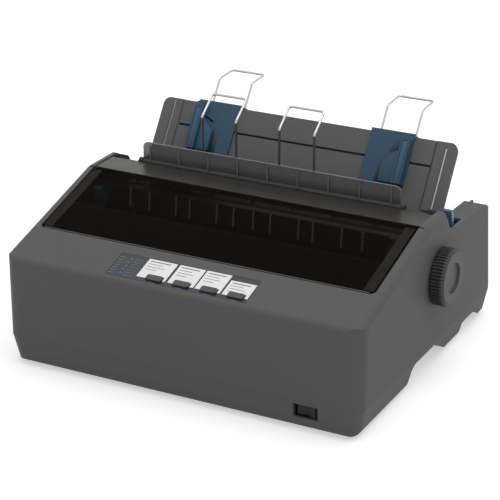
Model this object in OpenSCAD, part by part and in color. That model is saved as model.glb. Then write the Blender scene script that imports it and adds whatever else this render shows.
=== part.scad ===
// Serial impact printer with a hinged smoked cover, a reclining sheet guide and push tractors.
// Millimetres. X runs along the platen, Y into the machine, Z up from the table.

/* [Case] */
// Width of the case over its side walls
case_w = 348; // [340:1:372]
// Depth of the case from its front wall to its rear wall
case_d = 315; // [310:1:330]
// Wall of the moulded case halves
wall = 3; // [2:0.5:3.5]
// Height of the seam between the case halves
seam_z = 29.2; // [28:0.2:31]
// Height of the edge between the front wall and the sloping top
crease_z = 104; // [102:0.5:106]
// Angle of the sloping top
slope_deg = 15.83; // [15:0.01:16.6]
// Height of the flat shoulders
shoulder_z = 144.7; // [143.5:0.1:146]
// Depth of the shoulders' rear ends behind the front wall
shoulder_d = 183.5; // [182:0.5:186]
// Height of the low rear part beside the tractors
tail_z = 122.6; // [121:0.2:123.4]
// Radius of the case's front corners in plan
front_corner_r = 16; // [10:1:20]
// Radius of the case's rear corners in plan
rear_corner_r = 22; // [14:1:24]
// Radius of the long top edges
top_edge_r = 8; // [4:0.5:9]
// How far the lower case draws in at the sides
side_draw = 4.9; // [2:0.1:6]
// How far the lower case draws in at the front
front_draw = 3.9; // [2:0.1:5]
// Height of the rubber feet below the case
foot_h = 3.4; // [2:0.2:5]
// Radius of each rubber foot
foot_r = 9; // [6:0.5:10]

/* [Cover and deck] */
// Width of the case beside the smoked cover, at each end
cover_in = 10.2; // [10:0.1:12]
// Depth of the cover's front edge behind the front wall
cover_d0 = 47.5; // [46:0.5:50]
// Depth of the cover's rear edge behind the front wall
cover_d1 = 140.6; // [139.6:0.1:141]
// Thickness of the smoked cover
cover_t = 2.6; // [2:0.1:3]
// Gap round the cover
cover_gap = 0.5; // [0.3:0.1:1]
// Radius of the cover's hinge pins
cover_pin_r = 1.5; // [1.2:0.1:1.6]
// Depth of the deck behind the cover below the shoulders
deck_drop = 0.8; // [0.5:0.1:1.6]

/* [Paper guide] */
// Distance of the sheet guide's sides from the case's sides
guide_in = 21; // [20:0.5:24]
// Height of the sheet guide along its own slope, above its pivot
guide_h = 78; // [74:1:82]
// Angle by which the sheet guide leans back from upright
guide_lean = 34.3; // [30:0.1:38]
// Thickness of the sheet guide
guide_t = 3; // [2.5:0.1:4]
// Width of the two sliding edge guides
edge_guide_w = 43.6; // [42:0.2:50]
// Thickness of the edge guides' plates
edge_guide_t = 2.2; // [1.6:0.1:3]
// Radius of the bent wire supports
wire_r = 1.1; // [0.8:0.1:1.4]
// Distance between the legs of a wire support
wire_w = 35; // [30:0.5:38]
// Reach of the rear wires beyond the sheet guide's top edge
rear_wire_up = 28; // [20:1:34]

/* [Separator] */
// Distance of the separator's ends from the case's sides
separator_in = 43; // [41:0.5:48]
// Height of the separator above its hinge
separator_h = 19; // [16:0.5:20]
// Thickness of the separator
separator_t = 2.4; // [2:0.1:3]
// Height of the front wires above the separator's top edge
front_wire_up = 34; // [28:1:40]

/* [Control panel] */
// Width of the control panel film
panel_w = 137; // [130:1:140]
// Length of the film up the slope
panel_l = 31.5; // [29:0.5:33]
// Width of a panel button
button_w = 15; // [12:0.5:17]
// Length of a panel button up the slope
button_l = 6.6; // [5:0.2:8]
// Travel of a panel button
button_travel = 1; // [0.6:0.1:1.2]

/* [Platen and gears] */
// Depth of the platen's axis behind the front wall
platen_d = 167.5; // [166.5:0.5:169]
// Height of the platen's axis
platen_z = 90.4; // [89.5:0.1:91.5]
// Radius of the platen's rubber
platen_r = 14; // [13:0.5:14.5]
// Distance of the rubber's ends from the side frames
platen_in = 12; // [10:1:20]
// Radius of the platen's shaft
platen_shaft_r = 4; // [3.5:0.1:4.5]
// Radius of the platen knob
knob_r = 26.2; // [24:0.1:28]
// Thickness of the knob
knob_t = 13.5; // [12:0.5:16]
// Ridges round the knob
knob_ridges = 54; // [40:1:60]
// Module of the gear teeth
gear_m = 1; // [1:0.01:1.02]
// Width of each gear
gear_t = 5; // [4:0.2:5.4]

/* [Carriage] */
// Radius of the carriage's guide shaft
guide_shaft_r = 5; // [4:0.1:6]
// Width of the carriage
carriage_w = 52; // [46:1:58]
// Place of the carriage at rest, along X
carriage_x = -60; // [-70:1:-50]
// Running clearance of every shaft in its bearing
run_fit = 0.05; // [0.03:0.01:0.09]
// Gap between parts that slide on one another
slide_gap = 0.25; // [0.15:0.05:0.3]

/* [Tractors] */
// Distance of each tractor's row of pins from its side frame
tractor_in = 25.7; // [24:0.1:29]
// Pitch of the sprocket holes
hole_pitch = 12.7; // [12.7:0.1:12.9]
// Number of pins round each sprocket
pins = 6; // [6:1:6]
// Width across the flats of the tractors' square drive shaft
drive_shaft_w = 5.4; // [5:0.1:6]
// Radius of the rail that the tractors slide on
rail_r = 3; // [2.8:0.1:3.2]
// Gap between an open lock lever and the rail that it grips when shut
lock_gap = 0.6; // [0.5:0.05:0.7]

/* [Hidden] */
$fn = 48;
eps = 0.01;

// Colours of the mouldings and metals
case_grey = [0.36, 0.36, 0.36];
dark_grey = [0.2, 0.2, 0.2];
smoke = [0.1, 0.09, 0.08, 0.8];
clear_grey = [0.35, 0.36, 0.37, 0.7];
blue = [0.2, 0.32, 0.42];
steel = [0.75, 0.75, 0.76];
black = [0.08, 0.08, 0.08];
brass = [0.75, 0.62, 0.3];
board_green = [0.1, 0.32, 0.2];
nylon = [0.88, 0.87, 0.82];

// The model is centred on the box round its case and knob
knob_gap = 0.5;
knob_out = knob_t + knob_gap;
front_y = -case_d / 2;
rear_y = case_d / 2;
module placed() translate([-knob_out / 2, 0, 0]) children();

// ---- Helpers: outlines with rounded corners --------------------------------

function unit(v) = v / norm(v);
function fold180(a) = a > 180 ? a - 360 : a < -180 ? a + 360 : a;

// Arc of radius r at corner b between its neighbours a and c
function corner_arc(a, b, c, r, n) =
    let (u = unit([a.x - b.x, a.y - b.y]), v = unit([c.x - b.x, c.y - b.y]),
         half = acos(max(-1, min(1, u * v))) / 2,
         m = [b.x, b.y] + unit(u + v) * r / sin(half),
         p = [b.x, b.y] + u * r / tan(half), q = [b.x, b.y] + v * r / tan(half),
         a0 = atan2(p.y - m.y, p.x - m.x),
         turn = fold180(atan2(q.y - m.y, q.x - m.x) - a0))
    [for (i = [0:n]) m + r * [cos(a0 + turn * i / n), sin(a0 + turn * i / n)]];

// Outline through [x, y, radius] corners
function soft(pts, n = 10) =
    [for (i = [0:len(pts) - 1])
        let (b = pts[i], a = pts[(i + len(pts) - 1) % len(pts)], c = pts[(i + 1) % len(pts)])
        each (b.z > 0 ? corner_arc(a, b, c, b.z, n) : [[b.x, b.y]])];

// The same outline drawn in by d; corners run anticlockwise
function drawn_in(pts, d) =
    [for (i = [0:len(pts) - 1])
        let (b = pts[i], a = pts[(i + len(pts) - 1) % len(pts)], c = pts[(i + 1) % len(pts)],
             e = unit([b.x - a.x, b.y - a.y]), f = unit([c.x - b.x, c.y - b.y]),
             p = [-e.y, e.x], q = [-f.y, f.x], bend = e.x * f.y - e.y * f.x,
             m = [b.x, b.y] + (p + q) * d / (1 + p * q))
        [m.x, m.y, b.z == 0 ? 0 : bend > 0 ? max(0.4, b.z - d) : b.z + d]];

// A side outline, given as [y, z], carried along X from x0 to x1
module along_x(x0, x1) translate([x0, 0, 0]) rotate([90, 0, 90]) linear_extrude(x1 - x0) children();
module rod_x(r, x0, x1, y, z) translate([x0, y, z]) rotate([0, 90, 0]) cylinder(r = r, h = x1 - x0);
module box(lo, hi) translate(lo) cube(hi - lo);
module both_sides() { children(); mirror([1, 0, 0]) children(); }

// Rectangle with its own radius at the front pair and the rear pair of corners
module round_plan(hw, y0, y1, r0, r1) {
    polygon(soft([[-hw, y0, r0], [hw, y0, r0], [hw, y1, r1], [-hw, y1, r1]]));
}
module round_box(lo, hi, r) {
    translate([0, 0, lo.z]) linear_extrude(hi.z - lo.z)
        polygon(soft([[lo.x, lo.y, r], [hi.x, lo.y, r], [hi.x, hi.y, r], [lo.x, hi.y, r]], 6));
}
// What a rounding of radius r takes off an upright corner that leans from p0 up to p1;
// e is +1 for a rear corner
module corner_waste(r, p0, p1, e, d = 0) {
    a = p0 - [r, e * r, 0];
    lean = p1 - p0;
    turn = atan2(lean.y, lean.x);
    translate(a) rotate([0, acos(lean.z / norm(lean)), turn]) rotate([0, 0, -turn])
        translate([0, 0, -30]) linear_extrude(norm(lean) + 60) difference() {
            translate([0, e > 0 ? 0 : -r - 6]) square(r + 6);
            circle(r - d, $fn = 96);
        }
}
// What a rounding of radius r takes off an edge that runs along X's place, drawn along Y
module edge_waste(r, len) rotate([-90, 0, 0]) linear_extrude(len)
    difference() { translate([0, -r - 1]) square(r + 1); circle(r); }

// ---- Derived places ---------------------------------------------------------

hw = case_w / 2;
cover_w = case_w - 2 * cover_in;
guide_w = case_w - 2 * guide_in;
separator_w = case_w - 2 * separator_in;
shoulder_y = front_y + shoulder_d;
slope_top_y = front_y + (shoulder_z - crease_z) / tan(slope_deg);
cover_y0 = front_y + cover_d0;
cover_y1 = front_y + cover_d1;
cover_hinge = [cover_y1 + 0.5, crease_z + (cover_d1) * tan(slope_deg) - cover_pin_r];
deck_z = shoulder_z - deck_drop;
deck_y0 = cover_hinge.x + 2;
deck_y1 = shoulder_y - 1.5;
opening_hw = cover_w / 2 + cover_gap;
tail_hw = hw - 20.4;
tail_wall_z = 92;
floor_z = foot_h + wall;

platen_y = front_y + platen_d;
platen_c = [platen_y, platen_z];
frame_x = hw - 34;
frame_t = 2;
platen_l = 2 * (frame_x - platen_in);
tractor_x = frame_x - tractor_in;

step_z = deck_z - 3.5;
separator_pin = [shoulder_y - 6.2, step_z + 3.3];
// the sheet guide and the tractors share out the length behind the platen
tail_run = rear_y - platen_y;
guide_pivot = [platen_y + 0.3186 * tail_run, tail_z - 6.5];

// Places on the sloping top: x across, v up the slope from the crease, n out of it
module on_slope() translate([0, front_y, crease_z]) rotate([slope_deg, 0, 0]) children();
// Places in the sheet guide's own plane: x across, s up from its pivot, n to the front
module on_guide() translate([0, guide_pivot.x, guide_pivot.y]) rotate([90 - guide_lean, 0, 0]) children();

// ---- Case -------------------------------------------------------------------

tail_y0 = shoulder_y + 16;
drop_deg = atan2(shoulder_z - tail_z, tail_y0 - shoulder_y - 1);
drop_len = (shoulder_z - seam_z) / sin(drop_deg);
function front_outline(z0) = [
    [front_y, z0, 0], [shoulder_y + 1 + drop_len * cos(drop_deg), z0, 0],
    [shoulder_y + 1, shoulder_z, 7], [slope_top_y, shoulder_z, 40], [front_y, crease_z, 6]];
tail_drop = 2.6;
tail_bend = 38;
function rear_outline(z0) = [
    [shoulder_y - 30, z0, 0], [rear_y, z0, 0], each (z0 < seam_z ? [[rear_y, seam_z, 0]] : []),
    [rear_y - 10, tail_z - 18, 16],
    [rear_y - tail_bend, tail_z - tail_drop, 14], [tail_y0, tail_z, 0], [shoulder_y - 30, tail_z, 0]];

// Waste of the side edges along a line that rises by a degrees from point p
module side_waste(p, a, len) {
    r = top_edge_r;
    both_sides() translate([hw - r, p.x, p.y]) rotate([a, 0, 0]) translate([0, -20, -r])
        edge_waste(r, len + 40);
}
module upper_solid(d) {
    // the hollow is open at the seam
    z0 = d == 0 ? seam_z : seam_z - 10;
    intersection() {
        union() {
            difference() {
                along_x(-hw + d, hw - d) polygon(soft(drawn_in(front_outline(z0), d), 12));
                if (d == 0) {
                    side_waste([front_y, crease_z], slope_deg, shoulder_d);
                    side_waste([slope_top_y, shoulder_z], 0, shoulder_y - slope_top_y);
                    side_waste([shoulder_y + 1, shoulder_z], -drop_deg, 40);
                }
            }
            difference() {
                along_x(-hw + d, hw - d) polygon(soft(drawn_in(rear_outline(z0), d), 12));
                if (d == 0) {
                    side_waste([tail_y0, tail_z], -atan2(tail_drop, rear_y - tail_bend - tail_y0), 60);
                    side_waste([rear_y - tail_bend, tail_z - tail_drop],
                        -atan2(18 - tail_drop, tail_bend - 10), 20);
                }
            }
        }
        difference() {
            translate([0, 0, seam_z - 5]) linear_extrude(150)
                round_plan(hw - d, front_y + d, rear_y - d, front_corner_r - d, rear_corner_r - d);
            both_sides() corner_waste(rear_corner_r, [hw, rear_y, seam_z], [hw, rear_y - 10, tail_z - 18],
                1, d);
        }
    }
}

slot_x = [hw - 15.4, hw - 4.4];
slot_y = [shoulder_y + 18.5, shoulder_y + 45];
button_x = [-25, 1.5, 28, 54];
button_v = 12;
panel_v0 = 5.6;
panel_x0 = -71;
panel_recess = 0.6;
board_n = -12;
post_x = [panel_x0 + 6, panel_x0 + panel_w - 6];
screw_places = [[-hw + 22, front_y + 26], [hw - 22, front_y + 26], [-hw + 20, rear_y - 26],
    [hw - 20, rear_y - 26]];

module upper_case() color(case_grey) placed() {
    difference() {
        union() {
            difference() {
                upper_solid(0);
                difference() {
                    upper_solid(wall);
                    // seats of the cover's hinge pins
                    both_sides() box([opening_hw, cover_hinge.x - 6, cover_hinge.y - 6],
                        [hw - wall + 1, cover_hinge.x + 6, shoulder_z]);
                }
            }
            // bosses for the case screws, each with a web to the side wall
            for (p = screw_places) translate([p.x, p.y, seam_z]) {
                cylinder(r = 5, h = 50);
                translate([p.x < 0 ? -hw - p.x + wall - 0.5 : 0, -1, 0])
                    cube([hw - wall + 0.5 - abs(p.x), 2, 50]);
            }
            // ledge that the deck rests on
            both_sides() box([opening_hw - 4, deck_y0 + 2, step_z - 5],
                [hw - wall + 0.5, shoulder_y - 4, step_z - 2]);
            // posts of the panel's board
            on_slope() for (x = post_x) translate([x, panel_v0 + 20, board_n])
                cylinder(r = 3, h = -board_n - 1);
            // inner faces of the low rear part
            both_sides() box([tail_hw, shoulder_y - 2, tail_wall_z - 12],
                [tail_hw + 2, rear_y - 20, tail_z - 8]);
        }
        // opening for the cover and the deck, with a ledge under the cover's front edge
        difference() {
            translate([0, 0, 60]) linear_extrude(120)
                round_plan(opening_hw, cover_y0 - cover_gap, shoulder_y + 2, 5, 0.5);
            on_slope() translate([-cover_w / 2, cover_d0 / cos(slope_deg) - 4, -cover_t - 2.2])
                cube([cover_w, 6.5, 2.2 - 0.15]);
        }
        // opening over the tractors, with a low rear wall
        box([-tail_hw, shoulder_y, tail_wall_z], [tail_hw, rear_y + 5, 200]);
        // hole of the platen knob's hub
        rod_x(10, hw - 8, hw + 5, platen_y, platen_z);
        // slot of the release lever
        box([slot_x[0], slot_y[0], tail_z - 9], [slot_x[1], slot_y[1], tail_z + 5]);
        // bores of the cover's hinge
        both_sides() rod_x(cover_pin_r + run_fit, opening_hw - 1, opening_hw + 4, cover_hinge.x,
            cover_hinge.y);
        for (p = screw_places) translate([p.x, p.y, seam_z - 1]) cylinder(r = 1.6, h = 30);
        on_slope() {
            // recess for the film, and the holes through it
            translate([panel_x0, panel_v0, -panel_recess]) cube([panel_w, panel_l, 5]);
            for (x = button_x) translate([x - button_w / 2 - 0.4, button_v - button_l / 2 - 0.4, -9])
                cube([button_w + 0.8, button_l + 0.8, 12]);
            light_places() translate([0, 0, -9]) cylinder(r = 1.3, h = 12);
        }
    }
}
module light_places() {
    for (i = [0:4]) translate([-58, 11 + i * 5, 0]) children();
}

rear_draw = 3;
bottom_edge_r = 5;
function lower_side(k) = [[front_y + front_draw, foot_h, bottom_edge_r],
    [rear_y - rear_draw, foot_h, bottom_edge_r],
    [rear_y + rear_draw * (k - 1), foot_h + (seam_z - foot_h) * k, 0],
    [front_y - front_draw * (k - 1), foot_h + (seam_z - foot_h) * k, 0]];
function lower_front(k) = [[-hw + side_draw, foot_h, bottom_edge_r], [hw - side_draw, foot_h, bottom_edge_r],
    [hw + side_draw * (k - 1), foot_h + (seam_z - foot_h) * k, 0],
    [-hw - side_draw * (k - 1), foot_h + (seam_z - foot_h) * k, 0]];
module lower_solid(d) {
    // the hollow is open at the seam
    k = d == 0 ? 1 : 1.3;
    intersection() {
        along_x(-hw, hw) polygon(soft(drawn_in(lower_side(k), d)));
        translate([0, rear_y, 0]) rotate([90, 0, 0]) linear_extrude(case_d)
            polygon(soft(drawn_in(lower_front(k), d)));
        difference() {
            translate([0, 0, foot_h - 5]) linear_extrude(40)
                round_plan(hw - d, front_y + d, rear_y - d, front_corner_r - d, rear_corner_r - d);
            both_sides() {
                corner_waste(front_corner_r, [hw - side_draw, front_y + front_draw, foot_h],
                    [hw, front_y, seam_z], -1, d);
                corner_waste(rear_corner_r, [hw - side_draw, rear_y - rear_draw, foot_h],
                    [hw, rear_y, seam_z], 1, d);
            }
        }
    }
}
// Hand grips in the lower edge of each side: where each starts, is full, is full until, and ends
grip_d = [112, 118, 167, 204];
grip_h = 19.6;
grip_depth = 26;
rear_grip_d = [case_d - 81, case_d - 77, case_d - 49, case_d - 26];
rear_grip_h = 11.6;
rear_grip_depth = 14;
module grip_outline(d, h, r) {
    z = foot_h - 0.05;
    translate([front_y, 0]) polygon(soft([[d[0] - 16, z - 3, 0], [d[3] + 14, z - 3, 0],
        [d[3] + 14, z, 0], [d[3], z, r], [d[2], foot_h + h, r],
        [d[1], foot_h + h, r], [d[0], z, 1], [d[0] - 16, z, 0]]));
}
rocker_c = [hw - 49.5, 20];
rocker_w = 23;
rocker_h = 13;
inlet_x = 62 - hw;
port_x = hw - 112;
port_w = 58;
foot_places = [[-hw + 30, front_y + 26], [hw - 30, front_y + 26], [-hw + 30, rear_y - 24],
    [hw - 30, rear_y - 24]];

module lower_case() color(case_grey) placed() {
    difference() {
        lower_solid(0);
        difference() {
            lower_solid(wall);
            // solid round the hand grips
            both_sides() box([hw - grip_depth - wall, front_y + grip_d[0] - wall, 0],
                [hw + 5, front_y + grip_d[3] + wall, foot_h + grip_h + wall]);
            both_sides() box([hw - rear_grip_depth - wall, front_y + rear_grip_d[0] - wall, 0],
                [hw + 5, front_y + rear_grip_d[3] + wall, foot_h + rear_grip_h + wall]);
            // screw bosses
            for (p = screw_places) translate([p.x, p.y, 0]) cylinder(r = 5, h = 60);
        }
        both_sides() along_x(hw - grip_depth, hw + 5) grip_outline(grip_d, grip_h, 9);
        both_sides() along_x(hw - rear_grip_depth, hw + 5) grip_outline(rear_grip_d, rear_grip_h, 3);
        for (p = screw_places) translate([p.x, p.y, 0]) {
            cylinder(r = 1.9, h = 60);
            translate([0, 0, -1]) cylinder(r = 3.6, h = foot_h + 14);
        }
        for (p = foot_places) translate([p.x, p.y, foot_h - 1]) cylinder(r = foot_r, h = 2);
        // openings for the power switch and the rear sockets
        box([rocker_c[0] - rocker_w / 2, front_y - 5, rocker_c[1] - rocker_h / 2],
            [rocker_c[0] + rocker_w / 2, front_y + 12, rocker_c[1] + rocker_h / 2]);
        box([inlet_x - 14, rear_y - 12, 6.8], [inlet_x + 14, rear_y + 5, 26.8]);
        box([port_x - port_w / 2, rear_y - 12, 10], [port_x + port_w / 2, rear_y + 5, 24]);
        box([port_x - 60, rear_y - 12, 10], [port_x - 46, rear_y + 5, 22]);
        // air slots in the floor
        for (i = [0:8]) box([-60 + i * 15, front_y + 60, 0], [-56 + i * 15, front_y + 100, floor_z + 1]);
    }
}

module feet() color(black) placed() {
    for (p = foot_places) translate([p.x, p.y, 0]) {
        cylinder(r1 = foot_r - 1, r2 = foot_r - 0.2, h = 1.2, $fn = 64);
        translate([0, 0, 1.2]) cylinder(r = foot_r - 0.2, h = foot_h - 0.2, $fn = 64);
    }
}
module case_screws() color(steel) placed() {
    for (p = screw_places) translate([p.x, p.y, foot_h + 13]) {
        translate([0, 0, -2.4]) difference() {
            cylinder(r = 3.2, h = 2.4);
            translate([0, 0, -1]) { box([-2, -0.4, 0], [2, 0.4, 2]); box([-0.4, -2, 0], [0.4, 2, 2]); }
        }
        cylinder(r = 1.5, h = 30);
    }
}

module deck_panel() color(dark_grey) placed() {
    difference() {
        union() {
            translate([0, 0, step_z - 2]) linear_extrude(2)
                round_plan(opening_hw - 0.3, deck_y0, deck_y1, 0.6, 5);
            translate([0, 0, step_z - 2]) linear_extrude(deck_z - step_z + 2)
                round_plan(opening_hw - 0.3, deck_y0, separator_pin.x - 4.5, 0.6, 0.6);
            // ears of the separator's hinge
            both_sides() along_x(separator_w / 2 + 0.3, separator_w / 2 + 4.3)
                polygon(soft([[separator_pin.x - 4, step_z - 1, 0], [separator_pin.x + 4, step_z - 1, 0],
                    [separator_pin.x + 3.2, separator_pin.y + 3.2, 3],
                    [separator_pin.x - 3.2, separator_pin.y + 3.2, 3]]));
            // stiffening ribs below
            for (x = [-120:40:120]) box([x - 1, deck_y0 + 2, step_z - 6], [x + 1, deck_y1 - 4, step_z - 1]);
        }
        both_sides() rod_x(1.5 + run_fit, separator_w / 2, separator_w / 2 + 5, separator_pin.x,
            separator_pin.y);
    }
}

module printer_cover() color(smoke) placed() {
    v0 = cover_d0 / cos(slope_deg);
    v1 = cover_d1 / cos(slope_deg);
    on_slope() {
            translate([0, 0, -cover_t]) linear_extrude(cover_t) round_plan(cover_w / 2, v0, v1, 5, 0.6);
            // rim below the front edge and the sides
            translate([0, 0, -cover_t - 3]) linear_extrude(3.5) difference() {
                round_plan(cover_w / 2 - 2, v0 + 3.5, v1 - 6, 4, 0.6);
                round_plan(cover_w / 2 - 4, v0 + 5.5, v1 - 8, 3, 0.6);
            }
    }
    // hinge pins on short lugs
    both_sides() {
        rod_x(cover_pin_r, cover_w / 2 - 6, opening_hw + 3.4, cover_hinge.x, cover_hinge.y);
        box([cover_w / 2 - 6, cover_y1 - 5, cover_hinge.y - 1.2],
            [cover_w / 2 - 0.2, cover_y1 + 0.4, cover_hinge.y + 0.6]);
    }
}

// ---- Control panel ----------------------------------------------------------

film_t = 0.5;
module panel_film() color([0.17, 0.19, 0.24]) placed() on_slope() difference() {
    translate([panel_x0 + 0.2, panel_v0 + 0.2, -panel_recess]) cube([panel_w - 0.4, panel_l - 0.4, film_t]);
    for (x = button_x) translate([x - button_w / 2 - 0.4, button_v - button_l / 2 - 0.4, -3])
        cube([button_w + 0.8, button_l + 0.8, 6]);
    light_places() translate([0, 0, -3]) cylinder(r = 1.3, h = 6);
}
card_x = [[-42.5, -14.5], [-12, 13], [14.5, 38.5], [40.5, 65]];
card_v = [11, 36.4];
module panel_cards() color([0.93, 0.93, 0.92]) placed() on_slope() for (i = [0:3]) difference() {
    translate([card_x[i][0], card_v[0], film_t - panel_recess])
        cube([card_x[i][1] - card_x[i][0], (i == 3 ? 30.5 : card_v[1]) - card_v[0], 0.25]);
    translate([button_x[i] - button_w / 2 - 0.5, button_v - button_l / 2 - 1, -3])
        cube([button_w + 1, button_l + 1.5, 6]);
}
module panel_lights() color([0.5, 0.7, 0.5]) placed() on_slope() light_places() {
    translate([0, 0, -8.5]) cylinder(r = 1.2, h = 8.6);
    translate([0, 0, -8.5]) cylinder(r = 2, h = 3);
}
module panel_board() {
    difference() {
        translate([panel_x0 + 3, panel_v0 + 3, board_n - 1.6]) cube([panel_w - 6, panel_l - 5, 1.6]);
        for (x = post_x) translate([x, panel_v0 + 20, board_n - 3]) cylinder(r = 1.4, h = 5);
    }
    for (x = button_x) translate([x - 3, button_v - 3, board_n]) cube([6, 6, 3.2]);
    light_places() translate([0, 0, board_n]) cylinder(r = 1.8, h = 3.2);
}
module button(i) color([0.12, 0.13, 0.15]) placed() on_slope() translate([button_x[i], button_v, 0]) {
    translate([0, 0, -2]) linear_extrude(3.6)
        polygon(soft([for (c = [[-1, -1], [1, -1], [1, 1], [-1, 1]])
            [c.x * button_w / 2, c.y * button_l / 2, 1.6]], 6));
    // skirt that stops the button under the case, and its stem
    translate([-button_w / 2 - 1.2, -button_l / 2 + 0.2, -wall - 1.45])
        cube([button_w + 2.4, button_l - 0.4, 1.4]);
    translate([-button_w / 2 + 0.6, -button_l / 2 + 0.6, -4]) cube([button_w - 1.2, button_l - 1.2, 3]);
    translate([0, 0, board_n + 3.2 + button_travel + 0.3]) cylinder(r = 1.6, h = 4);
}
module button_1() button(0);
module button_2() button(1);
module button_3() button(2);
module button_4() button(3);

rocker_y = front_y + 5.2;
// the housing of the power switch, and the sockets at the rear
module switch_and_sockets() color(black) placed() {
    rocker_housing();
    rear_sockets();
}
module rocker_housing() difference() {
    box([rocker_c[0] - rocker_w / 2 + 0.2, front_y + 2.2, rocker_c[1] - rocker_h / 2 + 0.2],
        [rocker_c[0] + rocker_w / 2 - 0.2, front_y + 22, rocker_c[1] + rocker_h / 2 - 0.2]);
    box([rocker_c[0] - rocker_w / 2 + 1.4, front_y - 1, rocker_c[1] - rocker_h / 2 + 1.4],
        [rocker_c[0] + rocker_w / 2 - 1.4, front_y + 14, rocker_c[1] + rocker_h / 2 - 1.4]);
    translate([rocker_c[0], front_y + 8, rocker_c[1] - rocker_h / 2])
        cylinder(r = 1.2 + run_fit, h = rocker_h);
}
module power_rocker() color(black) placed() translate([rocker_c[0], front_y + 8, rocker_c[1]]) {
    h = rocker_h - 3.4;
    w = rocker_w / 2 - 3;
    translate([0, 0, -h / 2]) linear_extrude(h)
        polygon([[-w, -4.2], [0, -3.2], [w, -5.6], [w - 0.6, -1], [3, 3.4], [-3, 3.4], [-w + 0.6, -1]]);
    translate([0, 0, -rocker_h / 2 + 0.6]) cylinder(r = 1.2, h = rocker_h - 1.2);
}

// ---- Sheet guide ------------------------------------------------------------

guide_hw = guide_w / 2;
tongue_hw = frame_x - 0.8;
tongue_h = 12;
groove_x = guide_hw - 22;
rib_s = 38;
rib_n = 3.6;
groove_s = guide_h - 24.5;
module paper_guide() color(case_grey) placed() on_guide() difference() {
    union() {
        // the panel, wider above the case than in it
        translate([0, 0, -guide_t]) linear_extrude(guide_t) union() {
            polygon(soft([[-guide_hw, tongue_h, 1], [guide_hw, tongue_h, 1], [guide_hw, guide_h, 8],
                [-guide_hw, guide_h, 8]]));
            translate([-tongue_hw, 0]) square([2 * tongue_hw, tongue_h + 1]);
        }
        // raised borders at both sides, with a fine bead
        both_sides() {
            translate([groove_x + 1.5, tongue_h, 0]) linear_extrude(1.2)
                polygon(soft([[0, 0, 0], [guide_hw - groove_x - 1.5, 0, 0],
                    [guide_hw - groove_x - 1.5, guide_h - tongue_h, 7],
                    [0, guide_h - tongue_h, 0]]));
            translate([guide_hw - 11, tongue_h + 1, 1]) cube([1.2, guide_h - tongue_h - 8, 0.8]);
        }
        // ribs on the back
        for (x = [-120:30:120]) translate([x - 1, 4, -guide_t - rib_n]) cube([2, rib_s - 4, rib_n + 0.5]);
        translate([-groove_x, 3, -guide_t - rib_n]) cube([2 * groove_x, 2, rib_n + 0.5]);
        // pivot pins
        both_sides() rod_x(2.5, tongue_hw - 3, frame_x + frame_t - 0.2, 0, -guide_t / 2);
    }
    // track of the edge guides, cut right through
    translate([-groove_x, groove_s - 1, -guide_t - 8]) cube([2 * groove_x, 2, 20]);
}

// An edge guide holds the panel's top edge and the track; side is +1 where its fence is on the right
fence_w = 9;
fence_n = 10;
module edge_guide(x0, w, side) placed() on_guide() translate([x0, 0, 0]) {
    t = edge_guide_t;
    g = slide_gap;
    top = guide_h + g;
    s0 = guide_h - 48;
    plate_w = side > 0 ? w : w - 3.6;
    fx = side > 0 ? plate_w - fence_w - 0.6 : 0.6;
    color(blue) {
        // front plate, top bridge and back clip
        translate([0, s0, g]) cube([plate_w, top - s0 + t, t]);
        translate([0, top, -guide_t - g - t]) linear_extrude(guide_t + 2 * g + 2 * t)
            polygon(soft([[0, 0, 0], [w, 0, 0], [w, t, t * 0.9], [0, t, 0]], 5));
        translate([0, groove_s + 4, -guide_t - g - t]) cube([w, top - groove_s - 3.9, t]);
        // runner in the track
        translate([4, groove_s - 1 + g, -guide_t - g]) cube([w - 8, 2 - 2 * g, guide_t + 2 * g + 0.5]);
        // side fence with a rounded top, and its brace
        difference() {
            translate([fx, s0, g]) linear_extrude(fence_n) polygon(soft([[0, 0, 0.6], [fence_w, 0, 0.6],
                [fence_w, top - s0 - 1, fence_w * 0.49], [0, top - s0 - 1, fence_w * 0.49]], 8));
            // the fence is hollow from its front
            translate([fx + 1.8, s0 + 2, g + t + 1.4]) linear_extrude(fence_n) polygon(soft([[0, 0, 0.4],
                [fence_w - 3.6, 0, 0.4], [fence_w - 3.6, top - s0 - 9, 2], [0, top - s0 - 9, 2]], 6));
        }
        translate([side > 0 ? fx - 12 : fx + fence_w, s0, g]) linear_extrude(6)
            polygon(side > 0 ? [[0, 0], [12.1, 0], [12.1, 28]] : [[-0.1, 0], [12, 0], [-0.1, 28]]);
        // sockets of the wire, behind the top
        for (x = wire_legs(w)) translate([x, top - 16, -guide_t - g - t - 2]) rotate([-90, 0, 0])
            difference() {
            cylinder(r = 2.6, h = 16 + t);
            translate([0, 0, -1]) cylinder(r = wire_r + run_fit, h = 30);
        }
    }
}
function wire_legs(w) = [w - 3 - wire_w, w - 3];
left_x0 = -guide_hw + 38.7;
left_w = edge_guide_w + 3.6;
right_x0 = guide_hw - 86.2;
module edge_guide_left() edge_guide(left_x0, left_w, -1);
module edge_guide_right() edge_guide(right_x0, edge_guide_w, 1);

// A straight piece of round wire from p to q
module wire(p, q) {
    d = q - p;
    translate(p) rotate([0, acos(d.z / norm(d)), atan2(d.y, d.x)])
        cylinder(r = wire_r, h = norm(d), $fn = 24);
}
bend_r = 3;
// A bend is a hair thicker than the straight pieces that run into it
bend_swell = 0.04;
bend_lap = 0.3;
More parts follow.
